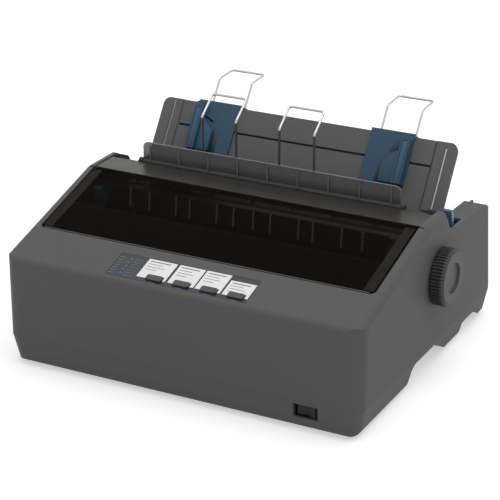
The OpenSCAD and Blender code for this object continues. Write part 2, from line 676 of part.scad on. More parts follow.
// How far from corner b a bend of the wire between a and c starts
function bend_start(a, b, c) = bend_r / tan(acos(max(-1, min(1, unit(a - b) * unit(c - b)))) / 2);
module bend(a, b, c) {
    u = unit(a - b);
    v = unit(c - b);
    half = acos(max(-1, min(1, u * v))) / 2;
    m = b + unit(u + v) * bend_r / sin(half);
    ex = unit(b + u * bend_r / tan(half) - m);
    ez = unit(cross(ex, b + v * bend_r / tan(half) - m));
    ey = cross(ez, ex);
    multmatrix([[ex.x, ey.x, ez.x, m.x], [ex.y, ey.y, ez.y, m.y], [ex.z, ey.z, ez.z, m.z], [0, 0, 0, 1]])
        rotate_extrude(angle = 180 - 2 * half, $fn = 48) translate([bend_r, 0])
            circle(wire_r + bend_swell, $fn = 24);
}
module wire_path(pts) {
    n = len(pts);
    for (i = [0:n - 2]) {
        u = unit(pts[i + 1] - pts[i]);
        p = i == 0 ? pts[0] : pts[i] + u * (bend_start(pts[i - 1], pts[i], pts[i + 1]) - bend_lap);
        q = i == n - 2 ? pts[n - 1] : pts[i + 1]
            - u * (bend_start(pts[i], pts[i + 1], pts[i + 2]) - bend_lap);
        wire(p, q);
    }
    for (i = [1:n - 2]) bend(pts[i - 1], pts[i], pts[i + 1]);
}
rear_wire_back = 26.4;
rear_wire_rise = 3;
module rear_wire(x0, w) color(steel) placed() on_guide() {
    n = -guide_t - slide_gap - edge_guide_t - 2;
    x = [for (q = wire_legs(w)) x0 + q];
    s1 = guide_h + rear_wire_up;
    // the top bends back and rises a little
    up = guide_lean + rear_wire_rise;
    b = rear_wire_back * [0, sin(up), -cos(up)];
    wire_path([[x[0], guide_h - 12, n], [x[0], s1, n], [x[0], s1, n] + b,
        [x[1], s1, n] + b, [x[1], s1, n], [x[1], guide_h - 12, n]]);
}
module rear_wire_left() rear_wire(left_x0, left_w);
module rear_wire_right() rear_wire(right_x0, edge_guide_w);

// ---- Paper separator --------------------------------------------------------

separator_y = separator_pin.x;
separator_top = separator_pin.y + separator_h;
separator_rib_pitch = 30.7;
separator_ribs = floor((separator_w / 2 - 2) / separator_rib_pitch);
front_wire_x = [-52, 27.2];
tube_y = separator_y + separator_t / 2 + 1.4;
module paper_separator() color(clear_grey) placed() {
    difference() {
        union() {
            rotate([90, 0, 0]) translate([0, 0, -separator_y - separator_t / 2]) linear_extrude(separator_t)
                polygon(soft([[-separator_w / 2, separator_pin.y, 0], [separator_w / 2, separator_pin.y, 0],
                    [separator_w / 2, separator_top, 4], [-separator_w / 2, separator_top, 4]], 6));
            rod_x(2.9, -separator_w / 2, separator_w / 2, separator_y, separator_pin.y);
            rod_x(1.5, -separator_w / 2 - 4, separator_w / 2 + 4, separator_y, separator_pin.y);
            // upright ribs on the front
            for (i = [-separator_ribs:separator_ribs]) translate([i * separator_rib_pitch, 0, 0])
                box([-0.8, separator_y - separator_t / 2 - 1.2, separator_pin.y + 1],
                    [0.8, separator_y, separator_top - 1.5]);
            // tubes that hold the wires
            for (c = front_wire_x, e = [-1, 1]) translate([c + e * wire_w / 2, tube_y, separator_pin.y + 2])
                cylinder(r = 2.3, h = separator_h - 2.5);
        }
        for (c = front_wire_x, e = [-1, 1]) translate([c + e * wire_w / 2, tube_y, separator_pin.y + 3.4])
            cylinder(r = wire_r + run_fit, h = separator_h);
    }
}
module front_wire(c) color(steel) placed() {
    z0 = separator_top - 5;
    z1 = separator_top + front_wire_up;
    b = [0, 20.5, 15.5];
    l = [c - wire_w / 2, tube_y, 0];
    r = [c + wire_w / 2, tube_y, 0];
    wire_path([l + [0, 0, z0], l + [0, 0, z1], l + [0, 0, z1] + b,
        r + [0, 0, z1] + b, r + [0, 0, z1], r + [0, 0, z0]]);
}
module front_wire_left() front_wire(front_wire_x[0]);
module front_wire_right() front_wire(front_wire_x[1]);

eject_ribs = [10, 27, 55, 69, 97, 117];
eject_y = platen_y - 36;
module eject_guide() color([0.16, 0.15, 0.14]) placed() {
    box([-frame_x + 0.1, eject_y, 112], [frame_x - 0.1, eject_y + 2, 134]);
    for (x = eject_ribs) both_sides() along_x(x - 0.7, x + 0.7)
        polygon([[eject_y - 5, 114], [eject_y + 0.5, 112], [eject_y + 0.5, 134], [eject_y - 3, 132]]);
    both_sides() along_x(frame_x - 12, frame_x - 0.1)
        polygon([[eject_y + 1, 112], [eject_y + 12, 112], [eject_y + 12, 116], [eject_y + 4, 118],
            [eject_y + 1, 134]]);
}

// ---- Levers -----------------------------------------------------------------

release_pivot = [shoulder_y + 29, 74];
module release_lever() color(blue) placed() {
    x0 = slot_x[0] + 1;
    x1 = slot_x[1] - 1;
    xm = frame_x + frame_t + 0.3;
    difference() {
        union() {
            along_x(x0, x1) polygon(soft([[release_pivot.x - 4, release_pivot.y - 4, 3],
                [release_pivot.x + 4, release_pivot.y - 4, 3], [release_pivot.x + 0, tail_z + 2, 6],
                [release_pivot.x - 3, tail_z + 14.5, 1.5], [release_pivot.x - 7, tail_z + 14.5, 1.5],
                [release_pivot.x - 5, tail_z + 2, 6]], 5));
            rod_x(5, xm, x1, release_pivot.x, release_pivot.y);
        }
        rod_x(2 + run_fit, xm - 1, x1 + 1, release_pivot.x, release_pivot.y);
    }
}
thickness_pivot = [platen_y - 40, 84];
module thickness_lever() color(blue) placed() {
    x1 = -frame_x - frame_t - 0.3;
    difference() {
        union() {
            along_x(x1 - 9, x1) polygon(soft([[thickness_pivot.x - 4, thickness_pivot.y - 4, 3],
                [thickness_pivot.x + 4, thickness_pivot.y - 4, 3], [thickness_pivot.x + 3, 112, 6],
                [thickness_pivot.x - 3, 127, 1.5], [thickness_pivot.x - 7, 127, 1.5],
                [thickness_pivot.x - 4, 112, 6]], 5));
            rod_x(5, x1 - 9, x1, thickness_pivot.x, thickness_pivot.y);
        }
        rod_x(2 + run_fit, x1 - 10, x1 + 1, thickness_pivot.x, thickness_pivot.y);
    }
}

// ---- Mechanism frame --------------------------------------------------------

drive_c = [platen_y + 0.556 * tail_run, 98];
rail_c = [platen_y + 0.7458 * tail_run, 92];
carriage_c = [platen_y - 48, 70];
frame_outline = [
    [front_y + 66, floor_z, 0], [rear_y - 40, floor_z, 0], [rear_y - 16, 60, 8], [rear_y - 16, 104, 8],
    [guide_pivot.x + 8, 112, 6], [guide_pivot.x + 6, guide_pivot.y + 5, 3],
    [guide_pivot.x - 8, guide_pivot.y + 5, 3],
    [guide_pivot.x - 14, 110, 8], [platen_y + 12, 112, 8], [platen_y - 18, 126, 5], [platen_y - 40, 126, 5],
    [platen_y - 48, 106, 8], [front_y + 66, 82, 8]];
frame_window = [[platen_y - 40, 20, 6], [platen_y - 2, 20, 6], [platen_y - 2, 46, 6], [platen_y - 40, 46, 6]];
module frame_plate(x0) difference() {
    along_x(x0, x0 + frame_t) polygon(soft(frame_outline, 5));
    along_x(x0 - 1, x0 + frame_t + 1) polygon(soft(frame_window, 5));
    rod_x(platen_shaft_r + 3, x0 - 1, x0 + frame_t + 1, platen_y, platen_z);
    rod_x(guide_shaft_r, x0 - 1, x0 + frame_t + 1, carriage_c.x, carriage_c.y);
    rod_x(3 + run_fit, x0 - 1, x0 + frame_t + 1, drive_c.x, drive_c.y);
    rod_x(rail_r, x0 - 1, x0 + frame_t + 1, rail_c.x, rail_c.y);
    rod_x(2.5 + run_fit, x0 - 1, x0 + frame_t + 1, guide_pin.x, guide_pin.y);
    rod_x(2 + run_fit, x0 - 1, x0 + frame_t + 1, press_c.x, press_c.y);
    rod_x(2 + run_fit, x0 - 1, x0 + frame_t + 1, eject_c.x, eject_c.y);
}
guide_pin = guide_pivot + guide_t / 2 * [cos(guide_lean), -sin(guide_lean)];
module side_frames() color(steel) placed() {
    left_frame();
    right_frame();
}
module left_frame() {
    difference() {
        union() {
            frame_plate(-frame_x - frame_t);
            rod_x(2, -frame_x - frame_t - 9.6, -frame_x - frame_t + 0.5, thickness_pivot.x,
                thickness_pivot.y);
            // stub axles of the reduction gear and the idler
            rod_x(2.5, -frame_x - frame_t - 13, -frame_x - frame_t + 0.5, reduction_c.x, reduction_c.y);
            rod_x(2.5, -frame_x - frame_t - 7.6, -frame_x - frame_t + 0.5, idler_c.x, idler_c.y);
            box([-frame_x, front_y + 70, floor_z], [-frame_x + 12, front_y + 130, floor_z + 2]);
        }
        rod_x(5, -frame_x - frame_t - 1, -frame_x + 1, motor_c.x, motor_c.y);
    }
}
module right_frame() {
    frame_plate(frame_x);
    rod_x(2, frame_x + frame_t - 0.5, slot_x[1] + 0.6, release_pivot.x, release_pivot.y);
    box([frame_x - 12, front_y + 70, floor_z], [frame_x + 1, front_y + 130, floor_z + 2]);
}

plate_z = 52;
plate_hw = frame_x - 0.05;
plate_y = [front_y + 68, carriage_c.x + 14];
pulley_x = frame_x - 22;
pulley_y = carriage_c.x - 26;
module chassis_plate() color(steel) placed() difference() {
    union() {
        box([-plate_hw, plate_y[0], plate_z], [plate_hw, plate_y[1], plate_z + 2]);
        // rail that steadies the front of the carriage
        box([-plate_hw, plate_y[0], plate_z + 1], [plate_hw, plate_y[0] + 2, plate_z + 14]);
        box([-plate_hw, plate_y[0], plate_z + 12], [plate_hw, plate_y[0] + 7, plate_z + 14]);
        box([-plate_hw, plate_y[1] - 2, plate_z - 12], [plate_hw, plate_y[1], plate_z + 1]);
        // axle of the belt's idler
        translate([pulley_x, pulley_y, plate_z + 1]) cylinder(r = 2, h = 12);
    }
    translate([-pulley_x, pulley_y, plate_z - 1]) cylinder(r = 6, h = 5);
    for (x = [-60:60:120]) round_box([x - 20, plate_y[0] + 8, plate_z - 1],
        [x + 20, plate_y[0] + 18, plate_z + 4], 3);
}

// ---- Platen and its gear train ----------------------------------------------

module platen_roller() color(black) placed() difference() {
    rod_x(platen_r, -platen_l / 2, platen_l / 2, platen_y, platen_z);
    rod_x(platen_shaft_r, -platen_l, platen_l, platen_y, platen_z);
}
// Curved pan that leads the paper round under the platen, with windows for the pressure rollers
pan_r = platen_r + 2.4;
pan_hw = frame_x - 0.1;
pan_a = [215, 375];
roller_x = [for (k = [-0.6, -0.2, 0.2, 0.6]) k * frame_x];
roller_w = 18;
press_r = 6;
press_c = platen_c + (platen_r + press_r + 0.05) * [cos(-88), sin(-88)];
function arc_points(c, r, a0, a1, n) = [for (i = [0:n]) c
    + r * [cos(a0 + (a1 - a0) * i / n), sin(a0 + (a1 - a0) * i / n)]];
module paper_pan() color(steel) placed() {
    lead_plate();
    pan();
}
module pan() difference() {
    along_x(-pan_hw, pan_hw) polygon(concat(
        arc_points(platen_c, pan_r, pan_a[0], pan_a[1], 30),
        [platen_c + [pan_r + 0.6, 18], platen_c + [pan_r + 1.8, 18]],
        arc_points(platen_c, pan_r + 1, pan_a[1], pan_a[0], 30)));
    for (x = roller_x) box([x - roller_w / 2 - 1, press_c.x - press_r - 1, press_c.y - press_r],
        [x + roller_w / 2 + 1, press_c.x + press_r + 1, press_c.y + press_r + 5]);
}
// Plate that leads the paper from the tractors down to the platen and closes the space below them
lead_line = [[pan_r + 4, 4], [pan_r + 24, -3], [pan_r + 48, -14], [tail_run - 12, -15.5]];
module lead_plate() along_x(-pan_hw, pan_hw) translate(platen_c)
    polygon(concat(lead_line, [for (i = [3:-1:0]) lead_line[i] - [0, 1.2]]));
module pressure_rollers() color([0.25, 0.25, 0.26]) placed() {
    rod_x(2, -frame_x - frame_t + 0.1, frame_x + frame_t - 0.1, press_c.x, press_c.y);
    for (x = roller_x) rod_x(press_r, x - roller_w / 2, x + roller_w / 2, press_c.x, press_c.y);
}
eject_c = [eject_y + 11, 122];
module eject_rollers() color([0.25, 0.25, 0.26]) placed() {
    rod_x(2, -frame_x - frame_t + 0.1, frame_x + frame_t - 0.1, eject_c.x, eject_c.y);
    for (k = [-2:2]) rod_x(4.5, 0.34 * k * frame_x - 6, 0.34 * k * frame_x + 6, eject_c.x, eject_c.y);
}
gear_x1 = -frame_x - frame_t - 2.5;
gear_x0 = gear_x1 - gear_t;
outer_x1 = gear_x0 - 0.6;
outer_x0 = outer_x1 - 4;
module platen_shaft() color(steel) placed()
    rod_x(platen_shaft_r, gear_x0 + 0.1, hw + knob_gap + 8, platen_y, platen_z);
module platen_bushes() color(nylon) placed() both_sides() difference() {
    union() {
        rod_x(platen_shaft_r + 3, frame_x - 3, frame_x + frame_t + 0.6, platen_y, platen_z);
        rod_x(platen_shaft_r + 5, frame_x - 3, frame_x - 0, platen_y, platen_z);
    }
    rod_x(platen_shaft_r + run_fit, frame_x - 4, frame_x + 5, platen_y, platen_z);
}

// Involute spur gear outline
pressure = 22;
backlash = 0.16;
function inv_deg(a) = tan(a) * 180 / PI - a;
function flank_r(z, m) =
    let (r = z * m / 2, rb = r * cos(pressure), rr = r - 1.2 * m, ra = r + 0.85 * m)
    concat(rr < rb ? [rr, rb] : [rr], [for (i = [1:3]) max(rb, rr) + (ra - max(rb, rr)) * i / 3]);
function half_tooth(z, m, r) =
    let (rp = z * m / 2, rb = rp * cos(pressure))
    90 / z - backlash / 2 / rp * 180 / PI + inv_deg(pressure) - (r > rb ? inv_deg(acos(rb / r)) : 0);
function gear_outline(z, m, phase) =
    let (rs = flank_r(z, m), n = len(rs))
    [for (i = [0:z - 1], j = [0:2 * n - 1])
        let (k = j < n ? j : 2 * n - 1 - j, h = half_tooth(z, m, rs[k]) * (j < n ? -1 : 1),
             a = phase + i * 360 / z + h)
        rs[k] * [cos(a), sin(a)]];
module gear(z, phase, x0, x1, c, bore) translate([x0, c.x, c.y]) rotate([90, 0, 90]) linear_extrude(x1 - x0)
    difference() { polygon(gear_outline(z, gear_m, phase)); circle(bore); }
// Phase of gear 2 (z2 teeth) in mesh with gear 1, whose centre lies at angle t from gear 1's
function meshed(z1, p1, t, z2) = t + 180 - (180 - z1 * (t - p1)) / z2;
function gear_r(z) = z * gear_m / 2;

z_platen = 36;
z_small = 14;
z_big = 40;
z_pinion = 12;
z_tractor = 30;
// the idler has the fewest teeth that reach both its neighbours
z_idler = floor(norm(drive_c - platen_c) / gear_m - (z_platen + z_tractor) / 2) + 1;
mesh_gap = 0.05;
ang_red = -100;
reduction_c = platen_c + (gear_r(z_platen) + gear_r(z_small) + mesh_gap) * [cos(ang_red), sin(ang_red)];
ang_motor = -50;
motor_c = reduction_c + (gear_r(z_big) + gear_r(z_pinion) + mesh_gap) * [cos(ang_motor), sin(ang_motor)];
// the idler sits where it meets both the platen gear and the tractor gear
span = norm(drive_c - platen_c);
r_pi = gear_r(z_platen) + gear_r(z_idler) + mesh_gap;
r_it = gear_r(z_idler) + gear_r(z_tractor) + mesh_gap;
ang_span = atan2(drive_c.y - platen_c.y, drive_c.x - platen_c.x);
ang_idler = ang_span - acos((r_pi * r_pi + span * span - r_it * r_it) / (2 * r_pi * span));
idler_c = platen_c + r_pi * [cos(ang_idler), sin(ang_idler)];
ang_tractor = atan2(drive_c.y - idler_c.y, drive_c.x - idler_c.x);
ph_platen = 0;
ph_small = meshed(z_platen, ph_platen, ang_red, z_small);
ph_pinion = meshed(z_big, 0, ang_motor, z_pinion);
ph_idler = meshed(z_platen, ph_platen, ang_idler, z_idler);
ph_tractor = meshed(z_idler, ph_idler, ang_tractor, z_tractor);

module platen_gear() color(nylon) placed() difference() {
    gear(z_platen, ph_platen, gear_x0, gear_x1, platen_c, platen_shaft_r);
    for (a = [0:60:300]) rod_x(2.6, gear_x0 - 1, gear_x1 + 1, platen_y + 11 * cos(a), platen_z + 11 * sin(a));
}
module reduction_gear() color(nylon) placed() {
    gear(z_small, ph_small, gear_x0 - 0.7, gear_x1, reduction_c, 2.5 + run_fit);
    gear(z_big, 0, outer_x0, outer_x1, reduction_c, 2.5 + run_fit);
}
module feed_pinion() color(brass) placed() {
    gear(z_pinion, ph_pinion, outer_x0, outer_x1, motor_c, 1.5);
    rod_x(1.5, outer_x0, -frame_x + 2, motor_c.x, motor_c.y);
}
module idler_gear() color(nylon) placed() difference() {
    gear(z_idler, ph_idler, gear_x0, gear_x1, idler_c, 2.5 + run_fit);
    for (a = [0:60:300]) rod_x(0.16 * gear_r(z_idler), gear_x0 - 1, gear_x1 + 1,
        idler_c.x + 0.6 * gear_r(z_idler) * cos(a), idler_c.y + 0.6 * gear_r(z_idler) * sin(a));
}
module tractor_gear() color(nylon) placed() gear(z_tractor, ph_tractor, gear_x0, gear_x1, drive_c, 3);
motor_r = 21;
module motors() color(dark_grey) placed() {
    feed_motor();
    carriage_motor();
}
module feed_motor() difference() {
    union() {
        rod_x(motor_r, -frame_x, -frame_x + 24, motor_c.x, motor_c.y);
        along_x(-frame_x, -frame_x + 1.5) polygon(soft([for (c = [[-1, -1], [1, -1], [1, 1], [-1, 1]])
            [motor_c.x + c.x * 22, motor_c.y + c.y * 22, 5]], 4));
    }
    rod_x(1.5 + 0.4, -frame_x - 1, -frame_x + 4, motor_c.x, motor_c.y);
}

// Outline of the knob's rim: flat-topped ridges with valleys between them
ridge_h = 1.1;
function ridge_outline() = [for (i = [0:knob_ridges - 1], k = [0:3])
    let (a = (i + [0, 0.5, 0.62, 0.88][k]) * 360 / knob_ridges, r = k < 2 ? knob_r : knob_r - ridge_h)
    r * [cos(a), sin(a)]];
module platen_knob() color([0.25, 0.25, 0.25]) placed() {
    x0 = hw + knob_gap;
    difference() {
        union() {
            along_x(x0 + 0.8, x0 + knob_t - 1.2) translate(platen_c) polygon(ridge_outline());
            rod_x(knob_r - 2.2, x0, x0 + knob_t, platen_y, platen_z);
            rod_x(8, hw - wall - 2, x0 + 1, platen_y, platen_z);
        }
        // shallow hollow in the face, and the bore for the shaft
        rod_x(14, x0 + knob_t - 2.2, x0 + knob_t + 1, platen_y, platen_z);
        rod_x(platen_shaft_r, hw - 20, x0 + 8, platen_y, platen_z);
    }
}

// ---- Tractors ---------------------------------------------------------------

module tractor_shaft() color(steel) placed() {
    rod_x(3, gear_x0, -frame_x + 2, drive_c.x, drive_c.y);
    rod_x(3, frame_x - 2, frame_x + frame_t + 2, drive_c.x, drive_c.y);
    box([-frame_x + 1, drive_c.x - drive_shaft_w / 2, drive_c.y - drive_shaft_w / 2],
        [frame_x - 1, drive_c.x + drive_shaft_w / 2, drive_c.y + drive_shaft_w / 2]);
}
// the carriage's guide shaft and the tractors' rail, both fixed in the side frames
module fixed_shafts() color(steel) placed() {
    rod_x(guide_shaft_r, -frame_x - frame_t, frame_x + frame_t, carriage_c.x, carriage_c.y);
    rod_x(rail_r, -frame_x - frame_t, frame_x + frame_t, rail_c.x, rail_c.y);
}

// the paper lies on the sprocket's pitch circle
paper_r = pins * hole_pitch / (2 * PI);
wheel_r = paper_r - 4.1;
pin_tip = paper_r + 1.7;
// the square shaft turns in this hole of each tractor
hub_hole_r = drive_shaft_w / sqrt(2) + 1.8;
tractor_ang = atan2(rail_c.y - drive_c.y, rail_c.x - drive_c.x);
tractor_len = norm(rail_c - drive_c);
// side outline of a tractor: a band round both shafts
module tractor_band(r, grow) {
    translate(drive_c) rotate(tractor_ang) union() {
        circle(r);
        translate([tractor_len + grow, 0]) circle(r);
        translate([0, -r]) square([tractor_len + grow, 2 * r]);
    }
}
module tractor_body(c, side) {
    x0 = side > 0 ? c + 5 : c - 11;
    difference() {
        union() {
            along_x(x0, x0 + 6) tractor_band(wheel_r + 4, 6);
            along_x(side > 0 ? c - 5.5 : c - 6, side > 0 ? c + 6 : c + 5.5) intersection() {
                tractor_band(wheel_r - 2.4, 6);
                translate(drive_c) rotate(tractor_ang) translate([pin_tip + 1, -20]) square([60, 40]);
            }
        }
        rod_x(hub_hole_r, x0 - 1, x0 + 7, drive_c.x, drive_c.y);
        rod_x(rail_r + run_fit, c - 20, c + 20, rail_c.x, rail_c.y);
    }
}
module tractor_left() color(dark_grey) placed() tractor_body(-tractor_x, -1);
module tractor_right() color(dark_grey) placed() tractor_body(tractor_x, 1);
module sprocket(c) difference() {
    union() {
        rod_x(wheel_r, c - 4, c + 4, drive_c.x, drive_c.y);
        for (i = [0:pins - 1]) translate([c, drive_c.x, drive_c.y]) rotate([i * 360 / pins + 30, 0, 0])
            translate([0, 0, wheel_r - 1.5])
                cylinder(r1 = 1.9, r2 = 1.2, h = pin_tip - wheel_r + 1.5, $fn = 24);
    }
    box([c - 10, drive_c.x - drive_shaft_w / 2 - 0.1, drive_c.y - drive_shaft_w / 2 - 0.1],
        [c + 10, drive_c.x + drive_shaft_w / 2 + 0.1, drive_c.y + drive_shaft_w / 2 + 0.1]);
}
module sprocket_left() color(nylon) placed() sprocket(-tractor_x);
module sprocket_right() color(nylon) placed() sprocket(tractor_x);
// lever that grips the rail to lock a tractor in place
module tractor_lock(c, side) difference() {
    x0 = side > 0 ? c + 11.3 : c - 15.3;
    union() {
        rod_x(5.5, x0, x0 + 4, rail_c.x, rail_c.y);
        along_x(x0, x0 + 4) polygon(soft([[rail_c.x - 3, rail_c.y, 0], [rail_c.x + 5.4, rail_c.y, 0],
            [rail_c.x + 9, rail_c.y + 17, 1.8], [rail_c.x + 4, rail_c.y + 17, 1.8]], 5));
    }
    rod_x(rail_r + lock_gap, x0 - 1, x0 + 5, rail_c.x, rail_c.y);
}
module tractor_lock_left() color(blue) placed() tractor_lock(-tractor_x, -1);
module tractor_lock_right() color(blue) placed() tractor_lock(tractor_x, 1);
// paper door over the pins, hinged along its outer edge
module tractor_door(c, side) translate([c, drive_c.x, drive_c.y]) rotate([tractor_ang, 0, 0]) {
    xh = side * 9;
    z0 = wheel_r + 4.6;
    difference() {
        translate([side > 0 ? -8 : -7, -7, z0]) cube([15, tractor_len + 14, 2]);
        // slot that the pins pass through
        translate([-2.4, -8, z0 - 1]) cube([4.8, tractor_len, 4]);
    }
    translate([xh, -4, z0 + 1]) rotate([-90, 0, 0]) cylinder(r = 1.6, h = tractor_len + 8);
    translate([side > 0 ? 6 : -8, -4, z0 - 0]) cube([2, tractor_len + 8, 2]);
}
module tractor_door_left() color(dark_grey) placed() tractor_door(-tractor_x, -1);
module tractor_door_right() color(dark_grey) placed() tractor_door(tractor_x, 1);

// ---- Carriage ---------------------------------------------------------------

module carriage() color(dark_grey) placed() translate([carriage_x, 0, 0]) {
    hwc = carriage_w / 2;
    difference() {
        union() {
            rod_x(guide_shaft_r + 4, -hwc, hwc, carriage_c.x, carriage_c.y);
            box([-hwc, plate_y[0] + 8.5, plate_z + 14.4], [hwc, carriage_c.x + 2, plate_z + 18]);
            box([-hwc, carriage_c.x - 12, plate_z + 14.4], [hwc, carriage_c.x, carriage_c.y + 6]);
            // shoe that runs above the front rail
            box([-12, plate_y[0] - 1, plate_z + 14.4], [12, plate_y[0] + 10, plate_z + 18]);
            // clamp round the belt's rear run
            box([-6, pulley_y + belt_in - 1.4, belt_z - 1],
                [6, pulley_y + belt_in + belt_t + 2, plate_z + 15]);
            // upright cradle of the print head
            both_sides() box([hwc - 8, carriage_c.x - 14, carriage_c.y + 4],
                [hwc - 5, carriage_c.x + 18, carriage_c.y + 20]);
            box([-hwc + 5, carriage_c.x - 14, carriage_c.y + 3],
                [hwc - 5, carriage_c.x + 18, carriage_c.y + 10]);
        }
        rod_x(guide_shaft_r + run_fit, -hwc - 1, hwc + 1, carriage_c.x, carriage_c.y);
        box([-7, pulley_y + belt_in + 0.3 - slide_gap, belt_z - 2],
            [7, pulley_y + belt_in + 0.3 + belt_t + slide_gap, belt_z + 5.25]);
    }
}
nose_y = platen_y - platen_r - 3.2;
module print_head() color([0.3, 0.3, 0.32]) placed() translate([carriage_x, 0, 0]) {
    z0 = carriage_c.y + 10;
    // body with cooling fins, and a nose that faces the platen
    for (i = [0:6]) box([-16, carriage_c.x - 20 + i * 5, z0], [16, carriage_c.x - 17.4 + i * 5, z0 + 26]);
    box([-13, carriage_c.x - 20, z0], [13, carriage_c.x + 14, z0 + 22]);
    along_x(-8, 8) polygon([[carriage_c.x + 13, z0], [carriage_c.x + 13, z0 + 20], [nose_y, platen_z + 3],
        [nose_y, platen_z - 3]]);
}
belt_z = plate_z + 4.6;
belt_in = 6;
belt_t = 1.2;
module carriage_belt() color(black) placed() translate([0, 0, belt_z]) linear_extrude(5) difference() {
    belt_outline(belt_in + 0.3 + belt_t);
    belt_outline(belt_in + 0.3);
}
module belt_outline(r) {
    translate([-pulley_x, pulley_y]) circle(r);
    translate([pulley_x, pulley_y]) circle(r);
    translate([-pulley_x, pulley_y - r]) square([2 * pulley_x, 2 * r]);
}
module pulley(x, bore) difference() {
    translate([x, pulley_y, belt_z - 1.2]) union() {
        cylinder(r = belt_in, h = 7.4);
        cylinder(r = belt_in + 1.6, h = 0.9);
        translate([0, 0, 6.6]) cylinder(r = belt_in + 1.6, h = 0.8);
    }
    translate([x, pulley_y, belt_z - 5]) cylinder(r = bore, h = 20);
}
module motor_pulley() color(brass) placed() {
    pulley(-pulley_x, 2);
    translate([-pulley_x, pulley_y, plate_z - 6]) cylinder(r = 2, h = 16);
}
module belt_idler() color(nylon) placed() pulley(pulley_x, 2 + run_fit);
module carriage_motor() difference() {
    union() {
        translate([-pulley_x, pulley_y, plate_z - 34]) cylinder(r = 18.5, h = 34);
        translate([0, 0, plate_z - 1.6]) linear_extrude(1.6) translate([-pulley_x, pulley_y])
            polygon(soft([[-19, -19, 4], [19, -19, 4], [19, 19, 4], [-19, 19, 4]], 4));
    }
    translate([-pulley_x, pulley_y, plate_z - 8]) cylinder(r = 2.4, h = 12);
}

ribbon_z = 82;
ribbon_y = [front_y + 70, front_y + 96];
winder_x = frame_x - 44;
module ribbon_cartridge() color(dark_grey) placed() {
    difference() {
        union() {
            round_box([8 - frame_x, ribbon_y[0], ribbon_z], [frame_x - 8, ribbon_y[1], ribbon_z + 14], 6);
            both_sides() round_box([frame_x - 16, ribbon_y[1] - 12, ribbon_z],
                [frame_x - 5, nose_y + 1.6, ribbon_z + 14], 3);
            // tabs that clip between the side frames
            both_sides() box([frame_x - 10, ribbon_y[0] + 8, ribbon_z + 2],
                [frame_x - 0.1, ribbon_y[0] + 16, ribbon_z + 9]);
        }
        translate([winder_x, (ribbon_y[0] + ribbon_y[1]) / 2, ribbon_z + 6])
            cylinder(r = 3 + run_fit, h = 20);
        // the print head and its cradle pass in front of the box
        box([16.1 - frame_x, ribbon_y[1], ribbon_z - 1], [frame_x - 16.1, nose_y + 10, ribbon_z + 20]);
    }
    // inked band between the two arms
    box([15 - frame_x, nose_y + 0.6, ribbon_z + 1.5], [frame_x - 15, nose_y + 0.9, ribbon_z + 12.5]);
}
module ribbon_knob() color([0.3, 0.3, 0.3]) placed()
    translate([winder_x, (ribbon_y[0] + ribbon_y[1]) / 2, ribbon_z + 14.3]) {
    difference() {
        cylinder(r = 9, h = 5);
        for (a = [0:30:330]) rotate(a) translate([10, 0, -1]) cylinder(r = 1.8, h = 8, $fn = 16);
    }
    translate([0, 0, -7]) cylinder(r = 3, h = 8);
}

// ---- Electronics ------------------------------------------------------------

// the main board on the floor, and the small board behind the panel
module circuit_boards() color(board_green) {
    placed() main_board();
    placed() on_slope() panel_board();
}
supply_w = 68;
supply_x = -frame_x + 8;
module main_board() {
    board = [frame_x - 160, frame_x - 20];
    box([board[0], rear_y - 118, floor_z + 4], [board[1], rear_y - 8, floor_z + 5.6]);
    for (x = board, y = [rear_y - 110, rear_y - 16]) translate([x + (x < 0 ? 8 : -8), y, floor_z])
        cylinder(r = 3, h = 4);
    translate([board[0], rear_y, floor_z + 5.6]) {
        box([40, -80, 0], [70, -50, 3.4]);
        box([86, -76, 0], [116, -62, 3.4]);
        box([20, -100, 0], [28, -60, 8.4]);
    }
}
module power_supply() color([0.55, 0.5, 0.3]) placed() translate([supply_x, rear_y, floor_z]) {
    box([0, -92, 3], [supply_w, -26, 4.6]);
    for (x = [4, supply_w - 4], y = [-88, -30]) translate([x, y, 0]) cylinder(r = 2.6, h = 3);
    // laminated core with its winding, and two capacitors
    round_box([8, -82, 4.6], [48, -50, 36], 2);
    round_box([13, -88, 8], [43, -44, 32], 6);
    for (x = [supply_w - 10, supply_w - 24]) translate([x, -36, 4.6]) cylinder(r = 5, h = 16);
}
module rear_sockets() {
    // mains inlet
    difference() {
        box([inlet_x - 13.7, rear_y - 20, 7.1], [inlet_x + 13.7, rear_y - 3.4, 26.5]);
        box([inlet_x - 11.5, rear_y - 16, 9.4], [inlet_x + 11.5, rear_y + 1, 24.2]);
    }
    for (x = [-7, 0, 7]) box([inlet_x + x - 1, rear_y - 17, 15.8 + (x == 0 ? 2 : -2)],
        [inlet_x + x + 1, rear_y - 5, 19.8 + (x == 0 ? 2 : -2)]);
    // parallel and serial ports
    difference() {
        box([port_x - port_w / 2 + 0.3, rear_y - 16, 12], [port_x + port_w / 2 - 0.3, rear_y - 3.4, 23.7]);
        box([port_x - port_w / 2 + 4, rear_y - 10, 14.5], [port_x + port_w / 2 - 4, rear_y, 21.2]);
    }
    difference() {
        box([port_x - 59.7, rear_y - 16, 12], [port_x - 46.3, rear_y - 3.4, 21.7]);
        box([port_x - 57.5, rear_y - 12, 13.5], [port_x - 48.5, rear_y, 20.2]);
    }
}

